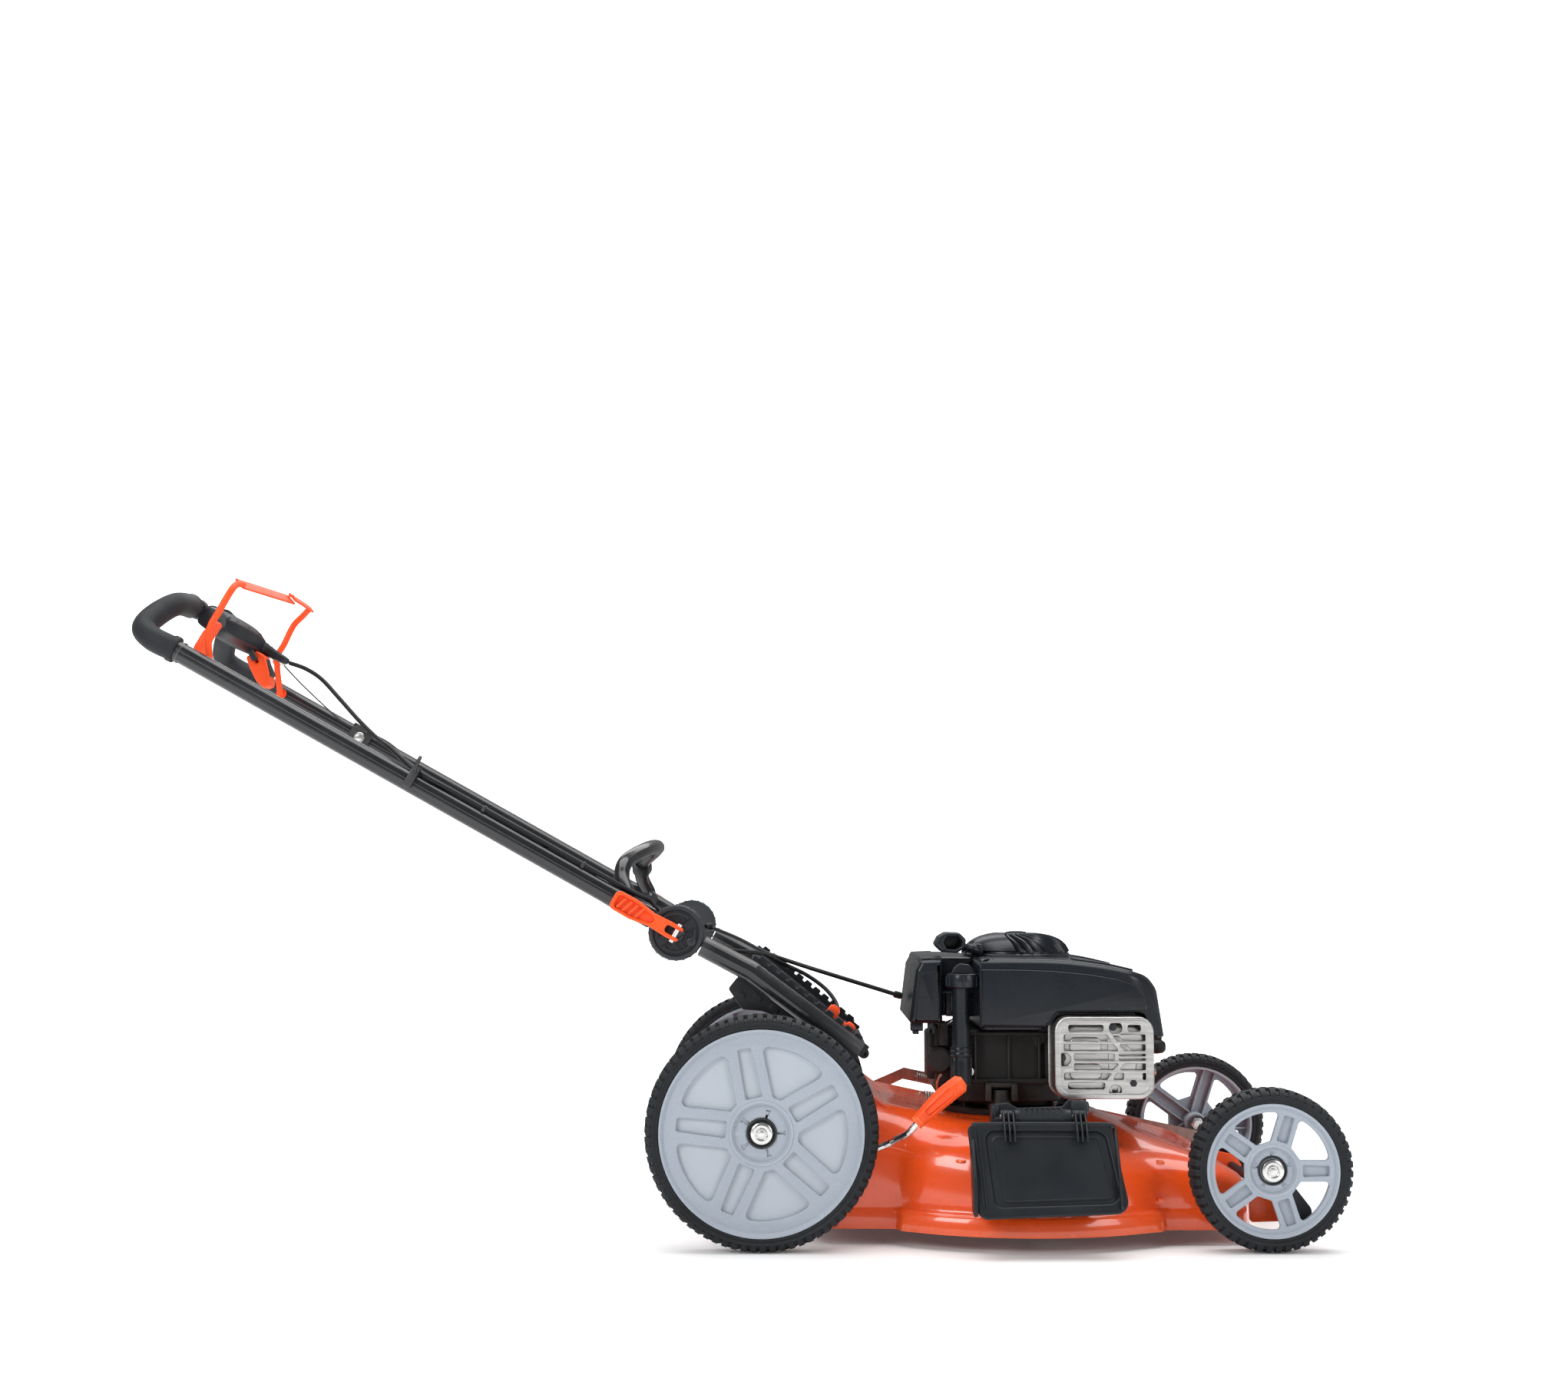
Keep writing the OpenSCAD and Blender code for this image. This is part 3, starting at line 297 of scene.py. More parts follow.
def put(ob, body, key, *nodes):
    """Gives a piece its material, its body and the CAD nodes that it stands for."""
    ob.data.materials.clear()
    ob.data.materials.append(MATERIALS[key])
    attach(ob, body)
    if nodes:
        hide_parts(*nodes)
    return ob


def join(name, parts):
    """Several meshes as one object."""
    bm = bmesh.new()
    for p in parts:
        copy = p.data.copy()
        copy.transform(p.matrix_world)
        bm.from_mesh(copy)
        bpy.data.meshes.remove(copy)
        bpy.data.objects.remove(p)
    mesh = bpy.data.meshes.new(name)
    bm.to_mesh(mesh)
    bm.free()
    shade(mesh, 36)
    return show(name, mesh)


def mirrored(ob, name):
    """A copy on the other side of the middle plane."""
    mesh = ob.data.copy()
    mesh.transform(ob.matrix_world)
    mesh.transform(Matrix.Scale(-1, 4, (0, 1, 0)))
    mesh.flip_normals()
    return show(name, mesh)


def cut(ob, *tools):
    """Takes the tools' volumes away from a closed mesh."""
    for t in tools:
        m = ob.modifiers.new("cut", "BOOLEAN")
        m.operation = "DIFFERENCE"
        m.solver = "EXACT"
        m.object = t
    ob = bake(ob)
    for t in tools:
        bpy.data.objects.remove(t)
    return ob


def smooth_path(points, steps=8):
    """A Catmull-Rom curve through the points."""
    p = [Vector(q) for q in points]
    out = []
    for i in range(len(p) - 1):
        a, b, c, d = p[max(i - 1, 0)], p[i], p[i + 1], p[min(i + 2, len(p) - 1)]
        for s in range(steps):
            t = s / steps
            out.append(
                0.5 * (
                    2 * b + (c - a) * t + (2 * a - 5 * b + 4 * c - d) * t * t
                    + (3 * b - a - 3 * c + d) * t ** 3
                )
            )
    return out + [p[-1]]


def ring(r, n=16, flat=1.0):
    """Points of a circle, or of an ellipse when flat is not 1."""
    return [(r * math.cos(2 * math.pi * k / n), flat * r * math.sin(2 * math.pi * k / n)) for k in range(n)]


def sweep(name, path, section, up=None, scale=None, sharp=40, caps=True):
    """A section of (side, up) points carried along a path; scale(t) shrinks or grows it on the way."""
    path = [Vector(p) for p in path]
    n, m = len(path), len(section)
    dirs = [(path[min(i + 1, n - 1)] - path[max(i - 1, 0)]).normalized() for i in range(n)]
    if up is None:
        u = dirs[0].orthogonal().normalized()
    verts = []
    for i, (p, d) in enumerate(zip(path, dirs)):
        if up is None:
            u = (u - d * u.dot(d)).normalized()
            top = u
            side = d.cross(top).normalized()
        else:
            side = d.cross(Vector(up)).normalized()
            top = side.cross(d).normalized()
        k = scale(i / (n - 1)) if scale else 1
        ka, kb = k if isinstance(k, tuple) else (k, k)
        verts += [p + side * a * ka + top * b * kb for a, b in section]
    faces = [
        (i * m + k, i * m + (k + 1) % m, (i + 1) * m + (k + 1) % m, (i + 1) * m + k) for i in range(n - 1)
        for k in range(m)
    ]
    if caps:
        faces += [tuple(range(m)), tuple((n - 1) * m + k for k in range(m - 1, -1, -1))]
    return add(name, verts, faces, sharp)


def tube(name, points, r, steps=8, n=16, **kw):
    """A round bar of radius r along the points, smoothed when steps is above 1."""
    return sweep(name, smooth_path(points, steps) if steps > 1 else points, ring(r, n), **kw)


def lathe(name, profile, place, seg=96):
    """A closed (radius, height) profile turned about local Z, then placed by a matrix."""
    verts, faces, m = [], [], len(profile)
    for k in range(seg):
        a = 2 * math.pi * k / seg
        verts += [place @ Vector((r * math.cos(a), r * math.sin(a), h)) for r, h in profile]
    for k in range(seg):
        b = ((k + 1) % seg) * m
        faces += [(k * m + i, k * m + (i + 1) % m, b + (i + 1) % m, b + i) for i in range(m)]
    return add(name, verts, faces, 30, slivers=True)


def fillet(points, r, n=5):
    """A polygon's outline with each corner rounded to radius r, or to its own radius from a list."""
    out, m = [], len(points)
    for i in range(m):
        p, a, b = Vector(points[i]), Vector(points[i - 1]), Vector(points[(i + 1) % m])
        radius = r[i] if isinstance(r, (list, tuple)) else r
        u, v = (a - p).normalized(), (b - p).normalized()
        angle = u.angle(v)
        if radius <= 0 or angle > math.pi - 0.02:
            out.append(p)
            continue
        reach = min(radius / math.tan(angle / 2), 0.49 * (a - p).length, 0.49 * (b - p).length)
        radius = reach * math.tan(angle / 2)
        centre = p + (u + v).normalized() * (radius / math.sin(angle / 2))
        s, e = p + u * reach - centre, p + v * reach - centre
        turn = math.atan2(s.x * e.y - s.y * e.x, s.dot(e))
        for k in range(n + 1):
            t = turn * k / n
            out.append(
                centre
                + Vector((s.x * math.cos(t) - s.y * math.sin(t), s.x * math.sin(t) + s.y * math.cos(t)))
            )
    return out


def box2(x0, x1, y0, y1, r=0):
    """A rectangle outline with corners rounded by r."""
    return fillet([(x0, y0), (x1, y0), (x1, y1), (x0, y1)], r)


def circle2(x, y, r, n=32):
    """A circle outline as plane vectors."""
    return [
        Vector((x + r * math.cos(2 * math.pi * k / n), y + r * math.sin(2 * math.pi * k / n)))
        for k in range(n)
    ]


def turned(loop, angle):
    """An outline turned about the origin, in degrees."""
    c, s = math.cos(RAD(angle)), math.sin(RAD(angle))
    return [Vector((p[0] * c - p[1] * s, p[0] * s + p[1] * c)) for p in loop]


def plate(name, loops, thick, edge, place, rounds=2):
    """A flat plate with holes: outlines in local X-Y, thick along local Z from 0, rounded edges."""
    cu = bpy.data.curves.new(name, "CURVE")
    cu.dimensions = "2D"
    cu.fill_mode = "BOTH"
    cu.extrude = (thick / 2 - edge) * 0.001
    cu.bevel_depth = edge * 0.001
    cu.bevel_resolution = rounds
    cu.offset = -edge * 0.001
    for loop in loops:
        sp = cu.splines.new("POLY")
        sp.points.add(len(loop) - 1)
        for q, p in zip(sp.points, loop):
            q.co = (p[0] * 0.001, p[1] * 0.001, 0, 1)
        sp.use_cyclic_u = True
    ob = bake(show(name, cu), 38)
    lift = Matrix.Translation((0, 0, thick / 2000))
    m = place.copy()
    m.translation = m.translation * 0.001
    ob.data.transform(m @ lift)
    weld(ob.data)
    shade(ob.data, 38)
    return ob


def axes(origin, x, y, z):
    """A placement matrix from an origin in millimetres and three axis directions."""
    m = Matrix((x, y, z)).transposed().to_4x4()
    m.translation = Vector(origin)
    return m


def facing_right(x, y, z):
    """Local X forward, local Y up, local Z out towards the mower's right side."""
    return axes((x, y, z), (1, 0, 0), (0, 0, 1), (0, -1, 0))


def facing_front(x, y, z):
    """Local X to the left, local Y up, local Z forward."""
    return axes((x, y, z), (0, 1, 0), (0, 0, 1), (1, 0, 0))


def wheel_place(x, z, side):
    """Local Z runs from a wheel's outer face inwards."""
    return axes((x, side * TRACK, z), (1, 0, 0), (0, 0, side), (0, -side, 0))


def block(name, x0, x1, y0, y1, z0, z1, edge=1.0):
    """A box between the given limits, its edges softened by edge."""
    verts = [(x, y, z) for x in (x0, x1) for y in (y0, y1) for z in (z0, z1)]
    faces = [(0, 1, 3, 2), (4, 6, 7, 5), (0, 4, 5, 1), (2, 3, 7, 6), (0, 2, 6, 4), (1, 5, 7, 3)]
    ob = add(name, verts, faces)
    return soften(ob, edge) if edge else ob


def placed(ob, m):
    """Moves a finished object by a matrix whose offset is in millimetres."""
    m = m.copy()
    m.translation = m.translation * 0.001
    ob.data.transform(m)
    return ob


def hex_head(name, place, r, h, washer=0):
    """A hexagon head with a turned-down crown, on a washer if it has one."""
    washer_h = 1.6
    six = [(r * math.cos(RAD(60 * k)), r * math.sin(RAD(60 * k))) for k in range(6)]
    head = plate(
        name, [six], h, min(0.8, h / 4), place @ Matrix.Translation((0, 0, washer_h if washer else 0))
    )
    if not washer:
        return head
    w = lathe(
        name + "_w",
        [(0, 0), (washer, 0), (washer, washer_h * 0.7), (washer - 0.5, washer_h), (0, washer_h)], place, 48
    )
    return join(name, [head, w])

# ---------- wheels ----------


def tread(radius, rim, side, x, name, lugs):
    """A tyre: bead rings, sidewall, staggered shoulder lugs and a centre rib, as one closed surface."""
    place = wheel_place(x, radius, side)
    offsets = [0, 0.07, 0.12, 0.19, 0.5, 0.57, 0.62, 0.69]

    def raised(t):
        t %= 1.0
        return 1.0 if 0.069 < t < 0.621 else 0.0

    def half(lug, mid):
        r, deep = radius, 4.2 * (1 - lug)
        return [
            (rim + 0.3, 4.2), (rim + 1.0, 2.4), (rim + 2.2, 1.4), (rim + 3.4, 1.3), (rim + 4.6, 2.0),
            (rim + 5.6, 1.9), (rim + 6.8, 1.0), (r - 10.6, 0.3), (r - 9.6, 0.35),
            (r - 9.0, 0.2 + deep * 0.55), (r - 7.2, 0.2 + deep * 0.62),
            (r - 4.4 - deep * 0.25, 1.8 + deep * 0.7), (r - 2.0 - deep * 0.6, 4.6 + deep * 0.5),
            (r - 0.5 - deep * 0.85, 8.4), (r - deep * 0.9, 13.2), (r - 3.9, 14.2), (r - 3.9, 16.4),
            (r - 0.2 - mid, 17.2), (r - mid * 0.9, TYRE_W / 2 - 0.01)
        ]
    verts, count = [], None
    samples = [(k + o) / lugs for k in range(lugs) for o in offsets]
    for s in samples:
        t = s * lugs
        a = 2 * math.pi * s
        left, right = raised(t), raised(t + 0.5)
        mid = 1.6 if 0.28 < (t * 0.5) % 1.0 < 0.40 else 0
        profile = half(left, mid) + [(r, TYRE_W - h) for r, h in reversed(half(right, mid))]
        profile += [(rim - 0.4, TYRE_W - 5), (rim - 0.4, 5)]
        count = len(profile)
        verts += [place @ Vector((r * math.cos(a), r * math.sin(a), h)) for r, h in profile]
    n = len(samples)
    faces = []
    for k in range(n):
        j = (k + 1) % n
        faces += [
            (k * count + i, k * count + (i + 1) % count, j * count + (i + 1) % count, j * count + i)
            for i in range(count)
        ]
    return add(name, verts, faces, 32)


def polar(r, a):
    """A plane vector at radius r and angle a in degrees."""
    return Vector((r * math.cos(RAD(a)), r * math.sin(RAD(a))))


def window(middle, half_step, offset, r_in, r_out, corner):
    """A sector between two spokes, its sides parallel to the spokes, its corners rounded."""
    t_in, t_out = math.sqrt(r_in ** 2 - offset ** 2), math.sqrt(r_out ** 2 - offset ** 2)
    first = polar(1, middle - half_step)
    last = polar(1, middle + half_step)
    nf, nl = Vector((-first.y, first.x)), Vector((last.y, -last.x))
    a, b = first * t_in + nf * offset, first * t_out + nf * offset
    c, d = last * t_out + nl * offset, last * t_in + nl * offset
    a0, a1 = math.degrees(math.atan2(b.y, b.x)), math.degrees(math.atan2(c.y, c.x))
    if a1 < a0:
        a1 += 360
    lead = math.degrees(2.1 * corner / r_out)
    arc = [a0 + lead] + [a0 + lead + (a1 - a0 - 2 * lead) * k / 10 for k in range(1, 10)] + [a1 - lead]
    points = [a, b] + [polar(r_out, t) for t in arc] + [c, d]
    radii = [3, corner] + [0] * len(arc) + [corner, 3]
    return fillet(points, radii, 6)


def spoke_pocket(angle, r_in, r_out, w_in, w_out, corner):
    """The outline of one pocket along a spoke."""
    loop = fillet([(r_in, -w_in), (r_out, -w_out), (r_out, w_out), (r_in, w_in)], corner, 4)
    return turned(loop, angle)


def hub_notch(angle, r0, r1):
    """A T-shaped outline that points outwards at an angle."""
    loop = [
        (r0, -1.6), (r1 - 3, -2.2), (r1 - 3, -3.4), (r1, -3.4), (r1, 3.4), (r1 - 3, 3.4), (r1 - 3, 2.2),
        (r0, 1.6)
    ]
    return turned(loop, angle)


def rear_wheel(side):
    """A solid disc wheel: spokes with pockets, five recessed panels, a stepped hub, a ribbed back."""
    place = wheel_place(0, REAR_R, side)
    word = "left" if side > 0 else "right"
    rim = 131.2
    angles = [side * (30 + 72 * k) for k in range(5)]
    holes = [window(a + 36, 36, 23.5, 48, 110, 9) for a in angles]
    holes += [spoke_pocket(a, 45.5, 109, 10.8, 8.4, 2.6) for a in angles]
    at = lambda h: place @ Matrix.Translation((0, 0, h))
    face = plate(
        "f", [circle2(0, 0, 126.5, 120), circle2(0, 0, 40.5, 64)] + holes, 7.5, 1.7, at(5.2), rounds=3
    )
    floor = lathe("b", [(38, 11.4), (126, 11.4), (126, 14.5), (38, 15.5)], place, 120)
    lip = lathe(
        "l",
        [
            (124.2, 12.5), (124.2, 6.0), (125.0, 5.0), (126.6, 3.4), (128.2, 1.5), (129.4, 0.7),
            (130.6, 0.8), (131.4, 1.8), (131.4, TYRE_W - 4.2), (129.6, TYRE_W - 3.4), (127.4, TYRE_W - 4.4),
            (126.4, 15)
        ], place, 144
    )
    hub = lathe(
        "h",
        [
            (34.2, 15), (34.2, 10.2), (35.4, 8.8), (37.2, 5.2), (38.6, 4.0), (40.0, 3.9), (41.3, 4.8),
            (42.0, 6.6), (42.0, 15)
        ], place, 96
    )
    notches = [hub_notch(a + 43 * side, 18, 31) for a in angles]
    disc = plate("n", [circle2(0, 0, 34.8, 64), circle2(0, 0, 19.6, 48)] + notches, 2.4, 0.35, at(9.8))
    under = lathe("u", [(19, 12.3), (34.8, 12.3), (34.8, 15), (19, 15)], place, 64)
    boss = lathe(
        "s",
        [
            (6.6, 16), (19.2, 16), (19.2, 20), (17, 23), (16, TYRE_W - 3), (15, TYRE_W - 2),
            (6.6, TYRE_W - 2)
        ], place, 48
    )
    ribs = []
    for k in range(10):
        rib = block("r", 15, 127.4, -1.3, 1.3, 14, 31, 0.4)
        for v in rib.data.vertices:
            if v.co.z > 0.02 and v.co.x > 0.05:
                v.co.z -= 0.006
        ribs.append(placed(rib, place @ Matrix.Rotation(RAD(36 * k + 6), 4, "Z")))
    cross = lathe("c", [(70, 14), (72.5, 14), (72.5, 27), (70, 27)], place, 96)
    put(join(f"rear_rim_{word}_moulding", [face, floor, lip, hub, disc, under, boss, cross] + ribs),
        f"rear_wheel_{word}", "rim_grey", f"rear_rim_{word}")
    well = lathe(
        f"rear_hub_ring_{word}",
        [
            (15.4, 13), (15.4, 11.6), (16.8, 10.6), (17.2, 8.2), (18.4, 7.4), (19.5, 8.0), (19.8, 10.4),
            (19.8, 13)
        ], place, 64
    )
    put(well, f"rear_wheel_{word}", "insert_black")
    put(
        tread(REAR_R, rim, side, 0, f"rear_tyre_{word}_tread", 74), f"rear_wheel_{word}", "tyre_rubber",
        f"rear_tyre_{word}"
    )


def front_wheel(side):
    """An open five-spoked wheel with pocketed spokes and a ribbed barrel."""
    place = wheel_place(WHEELBASE, FRONT_R, side)
    word = "left" if side > 0 else "right"
    rim = 84.5
    angles = [side * 72 * k for k in range(5)]
    at = lambda h: place @ Matrix.Translation((0, 0, h))
    windows = [window(a + 36, 36, 13.6, 37.5, 73.5, 6) for a in angles]
    pockets = [spoke_pocket(a, 38, 71.5, 7.4, 6.2, 2) for a in angles]
    inner = [window(a + 36, 36, 12.6, 36.5, 75, 6) for a in angles]
    face = plate(
        "f", [circle2(0, 0, 79.6, 96), circle2(0, 0, 31.5, 48)] + windows + pockets, 7, 1.6, at(4.6),
        rounds=3
    )
    under = plate("b", [circle2(0, 0, 79.6, 96), circle2(0, 0, 12, 48)] + inner, 6, 0.8, at(10.4))
    lip = lathe(
        "l",
        [
            (78.4, 17), (78.4, 5.4), (79.4, 4.2), (81.0, 1.8), (82.4, 0.8), (83.8, 0.9), (84.7, 2.0),
            (84.7, TYRE_W - 4.2), (83.2, TYRE_W - 3.4), (81.2, TYRE_W - 4.0), (80.2, 20)
        ], place, 120
    )
    hub = lathe(
        "h",
        [
            (26.4, 13), (26.4, 9.8), (27.6, 8.6), (29.2, 5.0), (30.6, 3.6), (32.2, 3.5), (33.6, 4.6),
            (34.4, 7), (34.4, 16), (26.4, 16)
        ], place, 72
    )
    notches = [hub_notch(a + 20 * side, 17.4, 24.4) for a in angles]
    disc = plate("n", [circle2(0, 0, 27, 48), circle2(0, 0, 18.6, 40)] + notches, 2.2, 0.35, at(9.2))
    back = lathe("u", [(18, 11.2), (27, 11.2), (27, 14), (18, 14)], place, 48)
    boss = lathe(
        "s", [(6.6, 16), (16.5, 16), (15.5, TYRE_W - 3), (14.8, TYRE_W - 2), (6.6, TYRE_W - 2)], place, 40
    )
    ribs = []
    for k in range(5):
        for shift in (-8.5, 8.5):
            rib = block("r", 14, 80.6, shift - 1.1, shift + 1.1, 15, 26, 0.3)
            ribs.append(placed(rib, place @ Matrix.Rotation(RAD(72 * k), 4, "Z")))
    put(join(f"front_rim_{word}_moulding", [face, under, lip, hub, disc, back, boss] + ribs),
        f"front_wheel_{word}", "rim_grey", f"front_rim_{word}")
    well = lathe(
        f"front_hub_ring_{word}",
        [
            (14.9, 12.4), (14.9, 11), (16, 10), (16.6, 7.8), (17.6, 7.2), (18.6, 7.8), (18.8, 9.8),
            (18.8, 12.4)
        ], place, 56
    )
    put(well, f"front_wheel_{word}", "insert_black")
    put(
        tread(FRONT_R, rim, side, WHEELBASE, f"front_tyre_{word}_tread", 51), f"front_wheel_{word}",
        "tyre_rubber", f"front_tyre_{word}"
    )


def wheel_caps(x, r, body, name, node):
    """The hub caps, axle ends and nuts of the two wheels on one axle."""
    parts = []
    for side in (-1, 1):
        place = wheel_place(x, r, side)
        parts.append(
            lathe(
                "c",
                [
                    (0, 4.6), (5.4, 4.6), (5.8, 5.4), (6.6, 5.6), (7.4, 4.4), (8.6, 3.9), (12.2, 4.1),
                    (13.8, 5.0), (14.5, 6.6), (14.5, 12), (0, 12)
                ], place, 64
            )
        )
        parts.append(
            lathe(
                "s", [(0, 12), (6.35, 12), (6.35, TYRE_W + 7), (5.6, TYRE_W + 9), (0, TYRE_W + 9)], place,
                40
            )
        )
        parts.append(hex_head("x", place @ Matrix.Translation((0, 0, 3.2)), 4.6, 2))
        parts.append(hex_head("n", place @ Matrix.Translation((0, 0, TYRE_W + 1)), 10, 7.4))
    put(join(name, parts), body, "bright_steel", node)


for s in (-1, 1):
    rear_wheel(s)
    front_wheel(s)
wheel_caps(0, REAR_R, "rear_crank", "rear_wheel_shoulder_bolts", "rear_wheel_bolts")
wheel_caps(WHEELBASE, FRONT_R, "front_crank", "front_wheel_shoulder_bolts", "front_wheel_bolts")

# ---------- deck ----------

SPINDLE = 350


def ray_to_box(c, s, x0, x1, half, corner):
    """Distance from the spindle to a rounded box's edge along a direction."""
    low, high = 0.0, 600.0
    cx, hx = (x0 + x1) / 2, (x1 - x0) / 2
    for _ in range(26):
        mid = (low + high) / 2
        px, py = abs(SPINDLE + c * mid - cx) - (hx - corner), abs(s * mid) - (half - corner)
        inside = math.hypot(max(px, 0), max(py, 0)) + min(max(px, py), 0) - corner
        low, high = (mid, high) if inside < 0 else (low, mid)
    return low


def smooth_max(values, k):
    """The largest value, blended where values are close."""
    top = max(values)
    return top + k * math.log(sum(math.exp((v - top) / k) for v in values))


def deck_shell():
    """The deck as rings of points from the skirt up to the engine seat, then given a thickness."""
    rows = [
        # height, inward step, tilt towards the front, share of the ledge
        (20.0, 0, 0, 1.0), (22.0, -0.6, 0, 1.0), (40.5, 0.4, 0, 0.80), (44.0, 1.4, 0, 0.72),
        (46.4, 1.6, 0, 0.40), (47.6, 1.2, 0, 0.12), (50.0, 0.6, 0, 0), (56, 0.9, 0.5, 0),
        (72, 1.8, 1.4, 0), (88, 3.8, 2.6, 0), (100, 7.0, 3.8, 0), (111, 12.4, 5.0, 0),
        (120, 19.5, 6.2, 0), (127.5, 28.5, 7.0, 0), (133.5, 39.5, 7.6, 0), (138, 52, 7.9, 0),
        (141.6, 67, 8.1, 0), (144.4, 86, 8.2, 0)]
    n = 240
    circle_from, circle_to = 178, 517
    verts, stations = [], []
    for k in range(n):
        a = 2 * math.pi * k / n
        c, s = math.cos(a), math.sin(a)
        outline = smooth_max(
            [263.5, ray_to_box(c, s, 330, 637, 211, 44), ray_to_box(c, s, 66, 340, 202, 36)], 7
        )
        stations.append((c, s, outline))
    for z, step, tilt, ledge in rows:
        for c, s, outline in stations:
            x = SPINDLE + c * outline
            on_circle = max(0.0, min(1.0, (circle_to - x) / 5)) * max(0.0, min(1.0, (x - circle_from) / 10))
            flare = 13.2 * ledge * on_circle + 2.4 * ledge * (1 - on_circle)
            r = outline + flare - step
            if x < circle_from and z < 90:
                r -= 1.0
            px, py = SPINDLE + c * r, s * r
            lift = -(px - SPINDLE) * math.tan(RAD(tilt))
            if px < 230:
                lift += (px - 230) * -0.05 * (tilt / 8)
            verts.append(Vector((px, py, z + lift)))
    for r, z in ((118, 149.6), (113.5, 152.2), (110, 153), (60, 153), (26, 153)):
        verts += [Vector((SPINDLE + c * r, s * r, z)) for c, s, _ in stations]
    count = len(verts) // n
    faces = []
    for i in range(count - 1):
        for k in range(n):
            j = (k + 1) % n
            quad = (i * n + k, i * n + j, (i + 1) * n + j, (i + 1) * n + k)
            mid = sum((verts[q] for q in quad), Vector()) / 4
            if 297 < mid.x < 421 and mid.y < -100 and 57 < mid.z < 128:
                continue
            faces.append(quad)
    ob = add("deck_shell", verts, faces, 40)
    m = ob.modifiers.new("sheet", "SOLIDIFY")
    m.thickness = 0.0025
    m.offset = -1
    return bake(ob, 42)


def deck_details():
    """Seam flanges, mounting pads and the frame round the discharge opening."""
    parts = []
    for x in (300, 418):
        parts.append(block("p", x - 2.5, x + 2.5, -262, -226, 56, 132, 1))
    parts.append(block("p", 298, 421, -238, -222, 128, 132, 1))
    parts.append(block("q", 512, 521, -222, -209, 56, 61, 1.2))
    parts.append(block("q", 512, 521, -221, -207, 104, 109, 1.2))
    for x, y in ((258, -232), (262, 232), (468, 214)):
        parts.append(
            lathe("r", [(0, 0), (9, 0), (8, 2.2), (6, 3), (0, 3)], Matrix.Translation((x, y, 110)), 32)
        )
    # Front lip that curls forward under the nose
    lip = [(612, y, 26) for y in (-196, 196)]
    parts.append(tube("l", lip, 4.2, steps=1, n=12))
    return parts


def strip_between(name, line, thick, y0, y1, edge=0.8):
    """A bent sheet: a line in the X-Z plane given thickness, between two Y positions."""
    p = [Vector(q) for q in line]
    n = len(p)
    left, right = [], []
    for i in range(n):
        d = (p[min(i + 1, n - 1)] - p[max(i - 1, 0)]).normalized()
        nv = Vector((-d.y, d.x)) * thick / 2
        left.append(p[i] + nv)
        right.append(p[i] - nv)
    return plate(name, [left + right[::-1]], y1 - y0, min(edge, thick * 0.4), facing_right(0, y1, 0))


def rear_tunnel():
    """The raised orange tunnel between the rear wheels, open at its slanted back."""
    side = fillet([(62, 118), (119, 202), (134, 194), (168, 168), (206, 148), (180, 118)], 8, 4)
    parts = [
        strip_between(
            "t", [(116, 201), (124, 200), (136, 191), (152, 178), (172, 166), (206, 152)], 2.6, -160, 160
        )
    ]
    for y in (-160, 157.5):
        parts.append(plate("w", [side], 2.5, 0.7, facing_right(0, y + 2.5, 0)))
    for y in (-160, 150):
        parts.append(strip_between("f", [(56, 121), (117, 203)], 2.4, y, y + 10))
    return parts


deck = join("deck_shell_painted", [deck_shell()] + deck_details() + rear_tunnel())
put(deck, "chassis", "deck_orange", "deck")

# ---------- engine ----------


def above_plan(z):
    """Local X forward, local Y left, local Z up."""
    return axes((0, 0, z), (1, 0, 0), (0, 1, 0), (0, 0, 1))


def along(points, x):
    """Height of a smooth line through (x, z) points."""
    for (x0, z0), (x1, z1) in zip(points, points[1:]):
        if x <= x1:
            t = max(0.0, (x - x0) / (x1 - x0))
            return z0 + (z1 - z0) * t
    return points[-1][1]


COVER_TOP = [
    (q.x, q.y)
    for q in smooth_path(
        [
            (286, 366), (340, 366.2), (390, 365.2), (430, 361.6), (470, 355.4), (500, 348), (516, 341),
            (528, 331)
        ], 8
    )
]
COVER_LOW = [
    (286, 277), (374, 277), (380, 279), (386, 284), (390, 293), (394, 296), (500, 296), (506, 292),
    (511, 276), (516, 262), (540, 262)
]


